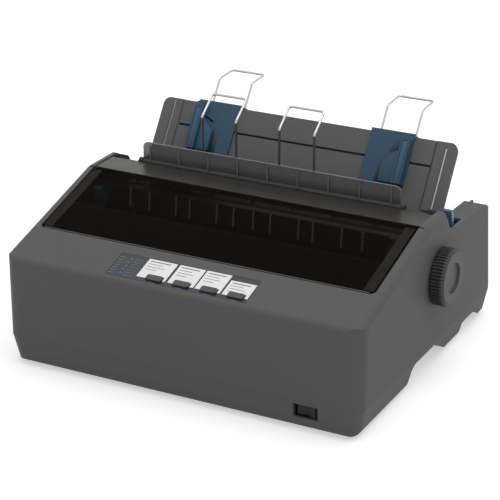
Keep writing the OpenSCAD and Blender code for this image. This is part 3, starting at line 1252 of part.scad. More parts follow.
lower_case();
upper_case();
feet();
case_screws();
deck_panel();
printer_cover();
panel_film();
panel_cards();
panel_lights();
button_1();
button_2();
button_3();
button_4();
switch_and_sockets();
power_rocker();
paper_guide();
edge_guide_left();
edge_guide_right();
rear_wire_left();
rear_wire_right();
paper_separator();
front_wire_left();
front_wire_right();
eject_guide();
release_lever();
thickness_lever();
side_frames();
chassis_plate();
platen_roller();
paper_pan();
pressure_rollers();
eject_rollers();
platen_shaft();
platen_bushes();
platen_gear();
platen_knob();
reduction_gear();
feed_pinion();
idler_gear();
tractor_shaft();
tractor_gear();
tractor_left();
tractor_right();
sprocket_left();
sprocket_right();
tractor_door_left();
tractor_door_right();
tractor_lock_left();
tractor_lock_right();
fixed_shafts();
carriage();
print_head();
carriage_belt();
motors();
motor_pulley();
belt_idler();
ribbon_cartridge();
ribbon_knob();
circuit_boards();
power_supply();
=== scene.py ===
"""Looks of a desktop printer with a smoked hinged cover: finishes, fine pieces, light and camera."""

import math

import bpy
from bpy.props import FloatProperty, FloatVectorProperty, IntProperty, PointerProperty
from mathutils import Matrix, Vector


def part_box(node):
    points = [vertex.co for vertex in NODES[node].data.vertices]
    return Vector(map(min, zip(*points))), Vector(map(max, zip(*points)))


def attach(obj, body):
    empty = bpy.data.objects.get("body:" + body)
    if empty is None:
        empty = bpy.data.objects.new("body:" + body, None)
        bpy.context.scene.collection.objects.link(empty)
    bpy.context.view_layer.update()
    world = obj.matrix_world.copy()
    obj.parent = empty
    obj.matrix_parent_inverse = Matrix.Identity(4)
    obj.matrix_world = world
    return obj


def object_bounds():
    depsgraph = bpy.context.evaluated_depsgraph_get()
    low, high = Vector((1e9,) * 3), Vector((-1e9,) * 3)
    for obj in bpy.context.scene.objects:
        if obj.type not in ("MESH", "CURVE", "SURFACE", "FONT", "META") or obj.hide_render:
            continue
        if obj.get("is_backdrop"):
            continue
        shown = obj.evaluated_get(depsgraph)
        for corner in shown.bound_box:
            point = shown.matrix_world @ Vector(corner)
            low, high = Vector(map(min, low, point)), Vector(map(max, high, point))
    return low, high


bl_info = {
    "name": "Desktop printer looks",
    "version": (1, 0, 0),
    "blender": (4, 5, 0),
    "location": "View3D > Sidebar > Printer",
    "description": "Finishes, small pieces, stage and camera of a desktop printer",
    "category": "Object",
}

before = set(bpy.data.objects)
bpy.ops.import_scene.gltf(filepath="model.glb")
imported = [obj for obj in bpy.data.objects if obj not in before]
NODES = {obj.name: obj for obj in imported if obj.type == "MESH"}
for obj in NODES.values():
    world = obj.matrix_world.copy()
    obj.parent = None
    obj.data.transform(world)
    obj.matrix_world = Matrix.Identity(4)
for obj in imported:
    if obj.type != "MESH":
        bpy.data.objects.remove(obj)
MM = 0.001
CAD_LO, CAD_HI = (list(v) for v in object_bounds())


# ---- Places on the machine --------------------------------------------------
# The functions take mm and give metres. Measures of pieces are in mm; those in metres are marked.

CASE_LO, CASE_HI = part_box("upper_case")
MID_X = (CASE_LO[0] + CASE_HI[0]) / 2
FRONT_Y = CASE_LO[1]
SLOPE = math.radians(15.83)
# height of the crease where the slope starts, in metres
CREASE_Z = 0.104


def on_slope(x, v, n=0.0):
    """A place on the sloping top: x from the middle, v up the slope, n out of it, in mm."""
    c, s = math.cos(SLOPE), math.sin(SLOPE)
    return Vector((MID_X + x * MM, FRONT_Y + (v * c - n * s) * MM, CREASE_Z + (v * s + n * c) * MM))


# the sheet guide stands on its pivot, given by y and z in metres, and leans back
GUIDE_PIVOT = (0.05699, 0.1161)
GUIDE_LEAN = math.radians(34.3)
GUIDE_THICK = 3.0
TRACK_S = 53.5
TRACK_HALF = 131.0


def on_guide(x, s, n=0.0):
    """A place on the sheet guide: x from the middle, s up the guide, n out of its front, in mm."""
    c, d = math.cos(GUIDE_LEAN), math.sin(GUIDE_LEAN)
    y = GUIDE_PIVOT[0] + (s * d - n * c) * MM
    z = GUIDE_PIVOT[1] + (s * c + n * d) * MM
    return Vector((MID_X + x * MM, y, z))


def on_case(x, y, z):
    """A place by its x from the case's middle and its y and z in the frame, in mm."""
    return Vector((MID_X + x * MM, y * MM, z * MM))


# ---- Settings ---------------------------------------------------------------


def colour_setting(name, value, text):
    return FloatVectorProperty(name=name, description=text, default=value, size=3,
                               min=0, max=1, subtype="COLOR")


class PrinterColours(bpy.types.PropertyGroup):
    """Colours of the printer's finishes."""

    case: colour_setting("Case", (0.121, 0.121, 0.121), "Moulded case halves, sheet guide and knobs")
    deck: colour_setting("Deck", (0.030, 0.028, 0.024), "Deck behind the cover")
    smoke: colour_setting("Smoke", (0.0050, 0.0036, 0.0026), "Smoked cover")
    separator: colour_setting("Separator", (0.150, 0.150, 0.152), "Smoked separator with painted shade")
    blue: colour_setting("Blue", (0.041, 0.093, 0.150), "Levers and edge guides")
    film: colour_setting("Film", (0.022, 0.027, 0.040), "Control panel film")
    button: colour_setting("Button", (0.040, 0.042, 0.043), "Panel buttons")
    wire: colour_setting("Wire", (0.55, 0.55, 0.56), "Bent wire supports")
    floor: colour_setting("Floor", (0.86, 0.86, 0.86), "Floor and backdrop")


class PrinterSizes(bpy.types.PropertyGroup):
    """Sizes of the printer's fine pieces and of its stage."""

    mark_height: FloatProperty(name="Mark height", description="How far printed marks stand off their card",
                               default=0.00004, min=0.00001, max=0.0003, unit="LENGTH", subtype="DISTANCE")
    floor_size: FloatProperty(name="Floor size", description="Side of the square floor",
                              default=14.0, min=2.0, max=40.0, unit="LENGTH", subtype="DISTANCE")
    key_power: FloatProperty(name="Key light", description="Power of the large light above",
                             default=25.0, min=0.0, max=200.0, subtype="POWER", unit="POWER")
    sky: FloatProperty(name="Sky", description="Strength of the even light from all round",
                       default=0.5, min=0, max=2)
    card_bars: IntProperty(name="Bars on a card", description="Lines of plain bars on each panel card",
                           default=4, min=0, max=8)


# ---- Material building blocks -----------------------------------------------


def add_node(tree, kind, **values):
    node = tree.nodes.new(kind)
    for key, value in values.items():
        setattr(node, key, value)
    return node


def group_tree(name, inputs, outputs):
    """An empty node group with its sockets, and its input and output nodes."""
    tree = bpy.data.node_groups.new(name, "ShaderNodeTree")
    for label, kind, value in inputs:
        socket = tree.interface.new_socket(label, in_out="INPUT", socket_type=kind)
        socket.default_value = value
    for label, kind in outputs:
        tree.interface.new_socket(label, in_out="OUTPUT", socket_type=kind)
    return tree, tree.nodes.new("NodeGroupInput"), tree.nodes.new("NodeGroupOutput")


def maths(tree, operation, a, b, clamp=False):
    """The result of one Math node; each side is a number or a socket."""
    node = add_node(tree, "ShaderNodeMath", operation=operation, use_clamp=clamp)
    for i, value in enumerate((a, b)):
        if isinstance(value, (int, float)):
            node.inputs[i].default_value = value
        else:
            tree.links.new(value, node.inputs[i])
    return node.outputs[0]


# sockets of a Mix node that mixes colours
MIX_FACTOR, MIX_A, MIX_B, MIX_RESULT = 0, 6, 7, 2


def mix_colour(tree, factor, a, b):
    """A mix of two colours, by a socket; each colour is a socket or its numbers."""
    node = add_node(tree, "ShaderNodeMix", data_type="RGBA")
    tree.links.new(factor, node.inputs[MIX_FACTOR])
    for i, value in ((MIX_A, a), (MIX_B, b)):
        if isinstance(value, bpy.types.NodeSocket):
            tree.links.new(value, node.inputs[i])
        else:
            node.inputs[i].default_value = (*value[:3], 1)
    return node.outputs[MIX_RESULT]


NOISE_MIDDLE = 0.5


def noise(tree, vector, scale, detail=3.0, rough=0.5):
    """Noise at a place, from 0 to 1 round its middle."""
    node = add_node(tree, "ShaderNodeTexNoise")
    tree.links.new(vector, node.inputs["Vector"])
    if isinstance(scale, bpy.types.NodeSocket):
        tree.links.new(scale, node.inputs["Scale"])
    else:
        node.inputs["Scale"].default_value = scale
    node.inputs["Detail"].default_value = detail
    node.inputs["Roughness"].default_value = rough
    return node.outputs[0]


def object_place(tree):
    """The place on the object, so that a pattern stays on its piece."""
    return add_node(tree, "ShaderNodeTexCoord").outputs["Object"]


FINE_SHARE = 0.6
PIT_SHARE = 0.4
PIT_SCALE = 0.62


def build_grain():
    """Height of a fine moulded texture: noise with small pits in it."""
    tree, ins, outs = group_tree(
        "Moulded grain",
        [("Scale", "NodeSocketFloat", 900.0), ("Depth", "NodeSocketFloat", 0.2)],
        [("Height", "NodeSocketFloat")])
    place = object_place(tree)
    fine = noise(tree, place, ins.outputs["Scale"], detail=2.0, rough=0.55)
    pits = add_node(tree, "ShaderNodeTexVoronoi")
    tree.links.new(place, pits.inputs["Vector"])
    tree.links.new(maths(tree, "MULTIPLY", ins.outputs["Scale"], PIT_SCALE), pits.inputs["Scale"])
    height = maths(tree, "ADD", maths(tree, "MULTIPLY", fine, FINE_SHARE),
                   maths(tree, "MULTIPLY", pits.outputs[0], PIT_SHARE))
    tree.links.new(maths(tree, "MULTIPLY", height, ins.outputs["Depth"]), outs.inputs["Height"])
    return tree


BROAD_SCALE = 9.0
SMEAR_SCALE = 22.0
SMEAR_STRETCH = (1.0, 3.0, 6.0)


def build_tone():
    """A colour that drifts a little over a surface, with faint smears in its gloss."""
    tree, ins, outs = group_tree(
        "Uneven tone",
        [("Colour", "NodeSocketColor", (0.5, 0.5, 0.5, 1)), ("Drift", "NodeSocketFloat", 0.06),
         ("Gloss", "NodeSocketFloat", 0.5), ("Smears", "NodeSocketFloat", 0.06)],
        [("Colour", "NodeSocketColor"), ("Roughness", "NodeSocketFloat")])
    place = object_place(tree)
    broad = maths(tree, "SUBTRACT", noise(tree, place, BROAD_SCALE, detail=2.0), NOISE_MIDDLE)
    factor = maths(tree, "ADD", 1.0, maths(tree, "MULTIPLY", broad, ins.outputs["Drift"]))
    scaled = add_node(tree, "ShaderNodeVectorMath", operation="SCALE")
    tree.links.new(ins.outputs["Colour"], scaled.inputs[0])
    tree.links.new(factor, scaled.inputs["Scale"])
    tree.links.new(scaled.outputs[0], outs.inputs["Colour"])
    streaks = add_node(tree, "ShaderNodeMapping")
    streaks.inputs["Scale"].default_value = SMEAR_STRETCH
    tree.links.new(place, streaks.inputs["Vector"])
    smeared = noise(tree, streaks.outputs[0], SMEAR_SCALE, detail=5.0, rough=0.65)
    smear = maths(tree, "SUBTRACT", smeared, NOISE_MIDDLE)
    change = maths(tree, "MULTIPLY", smear, ins.outputs["Smears"])
    rough = maths(tree, "ADD", ins.outputs["Gloss"], change, clamp=True)
    tree.links.new(rough, outs.inputs["Roughness"])
    return tree


EDGE_GAIN = 5.0
PATCH_SCALE = 60.0
PATCH_GAIN = 1.4


def build_edges():
    """Rounds sharp edges in the shading, and makes them paler in patches: partly wear where hands rub them,
    partly painted highlight.
    """
    tree, ins, outs = group_tree(
        "Rubbed edges",
        [("Radius", "NodeSocketFloat", 0.0006), ("Rub", "NodeSocketFloat", 0.3)],
        [("Mask", "NodeSocketFloat"), ("Normal", "NodeSocketVector")])
    bevel = add_node(tree, "ShaderNodeBevel", samples=4)
    tree.links.new(ins.outputs["Radius"], bevel.inputs["Radius"])
    flat = add_node(tree, "ShaderNodeNewGeometry")
    dot = add_node(tree, "ShaderNodeVectorMath", operation="DOT_PRODUCT")
    tree.links.new(bevel.outputs[0], dot.inputs[0])
    tree.links.new(flat.outputs["Normal"], dot.inputs[1])
    away = maths(tree, "SUBTRACT", 1.0, dot.outputs["Value"])
    turned = maths(tree, "MULTIPLY", away, EDGE_GAIN, clamp=True)
    patches = noise(tree, object_place(tree), PATCH_SCALE)
    patchy = maths(tree, "MULTIPLY", patches, PATCH_GAIN, clamp=True)
    edge_wear_and_highlight = maths(tree, "MULTIPLY", turned, patchy)
    tree.links.new(maths(tree, "MULTIPLY", edge_wear_and_highlight, ins.outputs["Rub"]), outs.inputs["Mask"])
    tree.links.new(bevel.outputs[0], outs.inputs["Normal"])
    return tree


DUST_POWER = 3.0
DUST_SCALE = 40.0
DUST_LEAST = 0.35


def build_dust():
    """Where dust settles: on what faces up, in soft patches."""
    tree, ins, outs = group_tree("Settled dust", [("Amount", "NodeSocketFloat", 0.1)],
                                 [("Mask", "NodeSocketFloat")])
    facing = add_node(tree, "ShaderNodeSeparateXYZ")
    tree.links.new(add_node(tree, "ShaderNodeNewGeometry").outputs["Normal"], facing.inputs[0])
    up = maths(tree, "POWER", maths(tree, "MAXIMUM", facing.outputs["Z"], 0.0), DUST_POWER)
    patches = noise(tree, object_place(tree), DUST_SCALE, detail=6.0, rough=0.7)
    settled = maths(tree, "MULTIPLY", up, maths(tree, "ADD", DUST_LEAST, patches))
    mask = maths(tree, "MULTIPLY", settled, ins.outputs["Amount"], clamp=True)
    tree.links.new(mask, outs.inputs["Mask"])
    return tree


EFFECTS = {"grain": build_grain, "tone": build_tone, "edges": build_edges, "dust": build_dust}
GROUPS = {}


def effect(tree, name, **values):
    """Places one of the shared node groups in a material, with its own values."""
    if not GROUPS:
        for key, build in EFFECTS.items():
            GROUPS[key] = build()
    node = add_node(tree, "ShaderNodeGroup", node_tree=GROUPS[name])
    for key, value in values.items():
        node.inputs[key].default_value = value
    return node


DUST_COLOUR = (0.33, 0.31, 0.28)
DUST_ROUGHENS = 0.4
# how much paler the edges are: partly wear, partly painted highlight
WEAR_AND_HIGHLIGHT_GAIN = 1.6
WEAR_AND_HIGHLIGHT_LIFT = 0.02
BUMP_STRENGTH = 0.5
# in metres, as is the radius of a finish
BUMP_DISTANCE = 0.0002


def finish(name, colour, gloss=0.5, grain=900.0, depth=0.15, rub=0.12, radius=0.0006, drift=0.08,
           smears=0.08, dust=0.04, **sockets):
    """A material of this machine: uneven tone, fine grain, rounded edges made paler partly by wear and
    partly by painted highlight, settled dust.
    """
    material = bpy.data.materials.new(name)
    material.use_nodes = True
    tree = material.node_tree
    shader = tree.nodes["Principled BSDF"]
    tone = effect(tree, "tone", Colour=(*colour, 1), Drift=drift, Gloss=gloss, Smears=smears)
    texture = effect(tree, "grain", Scale=grain, Depth=depth)
    edges = effect(tree, "edges", Radius=radius, Rub=rub)
    settled = effect(tree, "dust", Amount=dust)
    paler = tuple(min(1.0, v * WEAR_AND_HIGHLIGHT_GAIN + WEAR_AND_HIGHLIGHT_LIFT) for v in colour)
    # sharp edges paler in patches: partly wear, partly painted highlight
    wear_and_highlight_colour = mix_colour(tree, edges.outputs["Mask"], tone.outputs["Colour"], paler)
    dusty = mix_colour(tree, settled.outputs["Mask"], wear_and_highlight_colour, DUST_COLOUR)
    tree.links.new(dusty, shader.inputs["Base Color"])
    dulled = maths(tree, "MULTIPLY", settled.outputs["Mask"], DUST_ROUGHENS)
    rough = maths(tree, "ADD", tone.outputs["Roughness"], dulled, clamp=True)
    tree.links.new(rough, shader.inputs["Roughness"])
    bump = add_node(tree, "ShaderNodeBump")
    bump.inputs["Strength"].default_value = BUMP_STRENGTH
    bump.inputs["Distance"].default_value = BUMP_DISTANCE
    tree.links.new(texture.outputs["Height"], bump.inputs["Height"])
    tree.links.new(edges.outputs["Normal"], bump.inputs["Normal"])
    tree.links.new(bump.outputs[0], shader.inputs["Normal"])
    for key, value in sockets.items():
        shader.inputs[key.replace("_", " ")].default_value = value
    return material


def smoked(name, colour, opacity, gloss=0.08, shine=0.5):
    """Tinted clear plastic that lets part of the light through."""
    material = finish(name, colour, gloss=gloss, grain=260.0, depth=0.02, rub=0.05, radius=0.0004,
                      drift=0.02, smears=0.06, dust=0.012, Specular_IOR_Level=shine)
    material.node_tree.nodes["Principled BSDF"].inputs["Alpha"].default_value = opacity
    return material


def two_zones(material, change, first_colour, **sockets):
    """Gives a material another colour before a place along an axis, and a socket its value on each side."""
    axis, at, span = change
    tree = material.node_tree
    shader = tree.nodes["Principled BSDF"]
    place = add_node(tree, "ShaderNodeSeparateXYZ")
    tree.links.new(object_place(tree), place.inputs[0])
    start = maths(tree, "SUBTRACT", place.outputs[axis], at - span / 2)
    step = maths(tree, "MULTIPLY", start, 1.0 / span, clamp=True)
    beyond = shader.inputs["Base Color"].links[0].from_socket
    tree.links.new(mix_colour(tree, step, first_colour, beyond), shader.inputs["Base Color"])
    for label, (first, second) in sockets.items():
        rise = maths(tree, "MULTIPLY", step, second - first)
        tree.links.new(maths(tree, "ADD", rise, first), shader.inputs[label])
    return material


def toned(colour, share, lift=0.0):
    """A share of a colour, with a little added to each part of it."""
    return [v * share + lift for v in colour]


# ---- Finishes -----------------------------------------------------------------

# where a finish changes on its piece: the axis, the place and the length of the change, in metres
COVER_CHANGE = ("Y", -0.0705, 0.0012)
SEPARATOR_SHADE_CHANGE = ("Z", 0.1515, 0.008)
KNOB_SHADE_CHANGE = ("X", 0.1776, 0.0008)
# below this height the bent wire is near-black and not metallic: painted shade on its lower legs
WIRE_SHADE_CHANGE = ("Z", 0.1955, 0.001)
WIRE_SHADE_COLOUR = (0.03, 0.03, 0.032)
PLATING = 0.85


def case_finishes(c):
    """Moulded case, sheet guide with pale strips painted as highlights and its track painted as shade,
    deck, and knobs with painted shade on their inner side.
    """
    bead = {"gloss": 0.4, "grain": 1100.0, "depth": 0.04, "rub": 0.0, "dust": 0.0}
    knob = finish("Knob grey with painted shade", toned(c.case, 0.92), gloss=0.5, grain=1200.0, depth=0.12, rub=0.1,
                  Specular_IOR_Level=0.12)
    return {
        "case": finish("Moulded grey", c.case, gloss=0.55, grain=1100.0, depth=0.22, rub=0.10, drift=0.06,
                       Specular_IOR_Level=0.1),
        "guide": finish("Guide grey", toned(c.case, 1.2), gloss=0.55, grain=1100.0, depth=0.16, rub=0.10,
                        Specular_IOR_Level=0.12),
        # pale strips painted as highlights on the guide's borders, brighter on the right than on the left
        "bead": finish("Pale bead", (0.62, 0.62, 0.62), **bead),
        "grey_bead": finish("Grey bead", (0.30, 0.30, 0.30), **bead),
        # near-black painted shade for the track and for the dark line at the guide's right border
        "track": finish("Track painted shade", (0.012, 0.012, 0.013), gloss=0.6, grain=900.0, depth=0.1, rub=0.0,
                        dust=0.0),
        "deck": finish("Deck smoked", c.deck, gloss=0.28, grain=420.0, depth=0.5, rub=0.05, smears=0.3,
                       dust=0.02, Specular_IOR_Level=0.3),
        # the knob is darker before the change along x: painted shade on its ridged rim
        "knob": two_zones(knob, KNOB_SHADE_CHANGE, toned(c.case, 0.4)),
    }


def clear_finishes(c):
    """Smoked cover with its trim and a painted highlight along its front edge, and smoked separator with
    painted shade on its lower part and painted highlights on its upper edge and rib crests.
    """
    cover = smoked("Smoked cover", c.smoke, 0.5, shine=0.01)
    separator = smoked("Smoked separator with painted shade", c.separator, 0.72, gloss=0.3, shine=0.25)
    return {
        "smoke": two_zones(cover, COVER_CHANGE, toned(c.smoke, 1.35), Alpha=(0.86, 0.44)),
        # darker and more opaque below the change: painted shade on the separator's lower part
        "separator": two_zones(separator, SEPARATOR_SHADE_CHANGE, toned(c.separator, 0.5), Alpha=(0.8, 0.72)),
        # pale clear plastic for the strips painted as highlights on the separator's upper edge and rib
        # crests
        "separator_highlight": smoked("Separator painted highlight", (0.175, 0.175, 0.178), 0.85, gloss=0.3, shine=0.3),
        "smoke_lip": smoked("Smoked lip", (0.036, 0.031, 0.027), 0.55, gloss=0.2, shine=0.05),
        "smoke_fold": smoked("Smoked fold", (0.016, 0.013, 0.011), 0.7, gloss=0.5, shine=0.02),
        # pale strip painted as a highlight along the cover's front edge
        "cover_edge_highlight": finish("Cover edge painted highlight", (0.085, 0.082, 0.068), gloss=0.3, grain=700.0, depth=0.1,
                            rub=0.0),
    }


def blue_finishes(c):
    """Blue levers and edge guides, a lighter blue painted as light on the fence lids, and a darker blue
    painted as shade in the fences' pockets and grooves.
    """
    return {
        "blue": finish("Lever blue", c.blue, gloss=0.42, grain=1000.0, depth=0.12, rub=0.1,
                       Specular_IOR_Level=0.25),
        "light_blue": finish("Lever light blue", toned(c.blue, 1.5, 0.02), gloss=0.3, grain=1000.0,
                             depth=0.1),
        # a darker copy of the lever blue: painted shade in the fences' pockets and grooves
        "painted_shade_blue": finish("Painted shade blue", toned(c.blue, 0.3), gloss=0.6, grain=1000.0, depth=0.1, rub=0.0),
        # a lighter copy of the lever blue: painted light on the fence lids
        "lit_fence_blue": finish("Lit fence blue", toned(c.blue, 1.28), gloss=0.36, grain=1000.0, depth=0.1, rub=0.1,
                           Specular_IOR_Level=0.25),
        "pad_blue": finish("Pad blue", (0.042, 0.100, 0.235), gloss=0.35, grain=1000.0, depth=0.1, rub=0.1),
    }


def panel_finishes(c):
    """Film, cards, marks, lights and buttons of the control panel, and the black of the sockets."""
    print_look = {"grain": 700.0, "depth": 0.02, "rub": 0.0, "dust": 0.0}
    return {
        "film": finish("Panel film", c.film, gloss=0.34, grain=1400.0, depth=0.1, rub=0.0, dust=0.01),
        "card": finish("Card white", (0.98, 0.98, 0.97), gloss=0.5, grain=700.0, depth=0.03, rub=0.0,
                       drift=0.02),
        "ink": finish("Mark grey", (0.16, 0.17, 0.20), gloss=0.5, **print_look),
        "pale_ink": finish("Mark pale", (0.16, 0.19, 0.23), gloss=0.5, **print_look),
        "lens": finish("Light lens", (0.10, 0.14, 0.15), gloss=0.15, **print_look),
        "button": finish("Button grey", c.button, gloss=0.45, grain=1300.0, depth=0.08, rub=0.06,
                         radius=0.0009),
        "black": finish("Socket black", (0.006, 0.006, 0.006), gloss=0.5, grain=1200.0, depth=0.08, rub=0.0,
                        dust=0.01, Specular_IOR_Level=0.3),
    }


def wire_finishes(c):
    """Bent wires: plated all over, or near-black and not metallic up to a height, painted shade on the
    lower legs.
    """
    wire_look = {"grain": 2600.0, "depth": 0.05, "rub": 0.0, "dust": 0.0, "radius": 0.0001}
    shaded_wire_base = finish("Wire with painted shade", c.wire, gloss=0.3, **wire_look)
    return {
        "wire": finish("Plated wire", c.wire, gloss=0.24, Metallic=PLATING, **wire_look),
        "shaded_wire": two_zones(shaded_wire_base, WIRE_SHADE_CHANGE, WIRE_SHADE_COLOUR, Metallic=(0.0, PLATING)),
    }


def mechanism_finishes():
    """Frames, plates, shafts, gears, motors, boards and rubber inside the machine, and the painted
    highlights on the paper ribs.
    """
    return {
        # pale strips painted as highlights on the paper ribs' front edges
        "rib_highlight": finish("Paper rib highlight", (0.50, 0.45, 0.38), gloss=0.4, grain=900.0, depth=0.05,
                           rub=0.0),
        "dark_plate": finish("Black plate", (0.018, 0.017, 0.016), gloss=0.45, grain=600.0, depth=0.1,
                             rub=0.02, Metallic=0.3),
        "inner": finish("Inner black", (0.022, 0.021, 0.020), gloss=0.5, grain=900.0, depth=0.2),
        "rubber": finish("Platen rubber", (0.018, 0.018, 0.019), gloss=0.72, grain=2200.0, depth=0.3,
                         rub=0.0),
        "nylon": finish("Grey acetal", (0.105, 0.102, 0.095), gloss=0.36, grain=1500.0, depth=0.08,
                        rub=0.05, Subsurface_Weight=0.05, Subsurface_Scale=0.001),
        "steel": finish("Ground steel", (0.58, 0.58, 0.57), gloss=0.26, grain=2400.0, depth=0.1, dust=0.03,
                        Metallic=1.0),
        "plate": finish("Zinc plate", (0.50, 0.50, 0.47), gloss=0.38, grain=600.0, depth=0.1, drift=0.25,
                        Metallic=1.0),
        "brass": finish("Turned brass", (0.66, 0.48, 0.20), gloss=0.3, grain=2400.0, depth=0.1,
                        Metallic=1.0),
        "cast": finish("Cast head", (0.20, 0.20, 0.205), gloss=0.45, grain=1500.0, depth=0.4,
                       Metallic=0.9),
        "motor": finish("Motor black", (0.03, 0.03, 0.032), gloss=0.4, grain=1200.0, depth=0.2,
                        Metallic=0.4),
        "board": finish("Board green", (0.015, 0.10, 0.045), gloss=0.3, grain=500.0, depth=0.1, drift=0.3),
        "core": finish("Varnished core", (0.22, 0.17, 0.08), gloss=0.35, grain=800.0, depth=0.2, drift=0.3),
    }


FINISHES = {}


def use(finish_name, *nodes):
    """Gives CAD nodes a finish, in each material slot that they have."""
    for node in nodes:
        slots = NODES[node].data.materials
        if len(slots):
            for i in range(len(slots)):
                slots[i] = FINISHES[finish_name]
        else:
            slots.append(FINISHES[finish_name])


# ---- Making pieces ------------------------------------------------------------


def clear_selection():
    if bpy.context.object and bpy.context.object.mode != "OBJECT":
        bpy.ops.object.mode_set(mode="OBJECT")
    bpy.ops.object.select_all(action="DESELECT")


def select_only(items):
    """Selects these objects alone; the first is the active one."""
    clear_selection()
    for item in items:
        item.select_set(True)
    bpy.context.view_layer.objects.active = items[0]


def pick(item, vertices=(), faces=()):
    """Enters edit mode with only these vertices or faces selected."""
    if item.mode != "OBJECT":
        bpy.ops.object.mode_set(mode="OBJECT")
    mesh = item.data
    for part, chosen in ((mesh.vertices, vertices), (mesh.edges, ()), (mesh.polygons, faces)):
        for element in part:
            element.select = element.index in chosen
    bpy.ops.object.mode_set(mode="EDIT")
    bpy.ops.mesh.select_mode(type="FACE" if faces else "VERT")


def close_outwards():
    """Turns every face of the edited mesh outwards and leaves edit mode."""
    bpy.ops.mesh.select_all(action="SELECT")
    bpy.ops.mesh.normals_make_consistent(inside=False)
    bpy.ops.object.mode_set(mode="OBJECT")


def softened(item, width, steps):
    """Breaks the sharp edges of a piece."""
    soften = item.modifiers.new("soften", "BEVEL")
    soften.width = width
    soften.segments = steps
    soften.limit_method = "ANGLE"
    bpy.ops.object.modifier_apply(modifier="soften")
    return item


def block(centre, size, turn=(0, 0, 0), round_by=0.0, steps=1):
    """A box at its place, with softened edges where it is given a radius; sizes in metres."""
    clear_selection()
    bpy.ops.mesh.primitive_cube_add(size=1, location=centre, rotation=turn)
    item = bpy.context.object
    item.scale = size
    bpy.ops.object.transform_apply(location=True, rotation=True, scale=True)
    return softened(item, round_by, steps) if round_by else item


BAR_ROUNDING = 0.3


def fine_bar(centre, size, turn=(0, 0, 0)):
    """A slim bar with its edges broken; its size is in mm."""
    return block(centre, [v * MM for v in size], turn, round_by=min(size) * BAR_ROUNDING * MM)


MARK_ROUNDING = 0.35


def mark(centre, length, width, height, turn):
    """A thin printed bar with rounded ends, lying on a surface; sizes in metres."""
    clear_selection()
    bpy.ops.mesh.primitive_plane_add(size=1, location=centre, rotation=turn)
    item = bpy.context.object
    item.scale = (length, width, 1)
    bpy.ops.object.transform_apply(location=True, rotation=True, scale=True)
    outward = item.data.polygons[0].normal * height
    pick(item, vertices=range(4))
    bpy.ops.mesh.bevel(offset=width * MARK_ROUNDING, segments=2, affect="VERTICES")
    bpy.ops.mesh.select_all(action="SELECT")
    bpy.ops.mesh.extrude_region_move(TRANSFORM_OT_translate={"value": outward})
    close_outwards()
    return item


def copied(item, offset):
    """A copy with its own mesh, moved by an offset."""
    select_only([item])
    bpy.ops.object.duplicate(linked=False)
    bpy.ops.transform.translate(value=offset)
    bpy.ops.object.transform_apply(location=True, rotation=False, scale=False)
    return bpy.context.object


def joined(items):
    """One object out of several."""
    select_only(items)
    if len(items) > 1:
        bpy.ops.object.join()
    return bpy.context.object


SMOOTH_ANGLE = math.radians(30)


def finished(item, name, body, material):
    """Names a piece, smooths it, and hangs it on the body that carries it."""
    select_only([item])
    bpy.ops.object.shade_smooth_by_angle(angle=SMOOTH_ANGLE)
    item.name = item.data.name = name
    item.data.materials.clear()
    item.data.materials.append(FINISHES[material])
    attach(item, body)


# ---- Operators: finishes --------------------------------------------------------


class PRINTER_OT_mix_finishes(bpy.types.Operator):
    """Mix every finish of the printer"""

    bl_idname = "printer.mix_finishes"
    bl_label = "Mix finishes"

    def execute(self, context):
        colours = context.scene.printer_colours
        for mix in (case_finishes, clear_finishes, blue_finishes, panel_finishes, wire_finishes):
            FINISHES.update(mix(colours))
        FINISHES.update(mechanism_finishes())
        return {"FINISHED"}


class PRINTER_OT_dress_case(bpy.types.Operator):
    """Give the case, feet, knobs, levers, guides and wires their finishes"""

    bl_idname = "printer.dress_case"
    bl_label = "Dress case and guides"

    def execute(self, context):
        use("case", "upper_case", "lower_case")
        use("guide", "paper_guide")
        use("deck", "deck_panel")
        use("smoke", "printer_cover")
        use("separator", "paper_separator")
        use("blue", "edge_guide_left", "edge_guide_right", "tractor_lock_left", "tractor_lock_right")
        use("light_blue", "release_lever", "thickness_lever")
        use("wire", "rear_wire_left", "rear_wire_right")
        use("shaded_wire", "front_wire_left", "front_wire_right")
        use("knob", "platen_knob", "ribbon_knob")
        use("rubber", "feet", "platen_roller", "pressure_rollers", "eject_rollers", "carriage_belt")
        use("black", "switch_and_sockets", "power_rocker")
        return {"FINISHED"}


class PRINTER_OT_dress_panel(bpy.types.Operator):
    """Give the control panel and the circuit boards their finishes"""

    bl_idname = "printer.dress_panel"
    bl_label = "Dress control panel"

    def execute(self, context):
        use("film", "panel_film")
        use("card", "panel_cards")
        use("lens", "panel_lights")
        use("board", "circuit_boards")
        use("button", "button_1", "button_2", "button_3", "button_4")
        return {"FINISHED"}


class PRINTER_OT_dress_mechanism(bpy.types.Operator):
    """Give the frames, shafts, gears, motors and tractors their finishes"""

    bl_idname = "printer.dress_mechanism"
    bl_label = "Dress mechanism"

    def execute(self, context):
        use("inner", "eject_guide", "carriage", "ribbon_cartridge", "tractor_left", "tractor_right",
            "tractor_door_left", "tractor_door_right")
        use("dark_plate", "side_frames", "paper_pan")
        use("plate", "chassis_plate")
        use("steel", "platen_shaft", "tractor_shaft", "fixed_shafts", "case_screws")
        use("nylon", "platen_gear", "reduction_gear", "idler_gear", "tractor_gear",
            "sprocket_left", "sprocket_right")
        use("black", "platen_bushes", "belt_idler")
        use("brass", "feed_pinion", "motor_pulley")
        use("motor", "motors")
        use("cast", "print_head")
        use("core", "power_supply")
        return {"FINISHED"}


# ---- Operators: pieces on the sheet guide ---------------------------------------

GUIDE_TURN = (-GUIDE_LEAN, 0, 0)

# the lining is a near-black channel behind the track: painted shade seen through the slot
LINING_SPARE = 3
LINING_TALL = 5.0
LINING_THICK = 1.4
LINING_BORDER = 0.7
LINING_SINK = 0.6
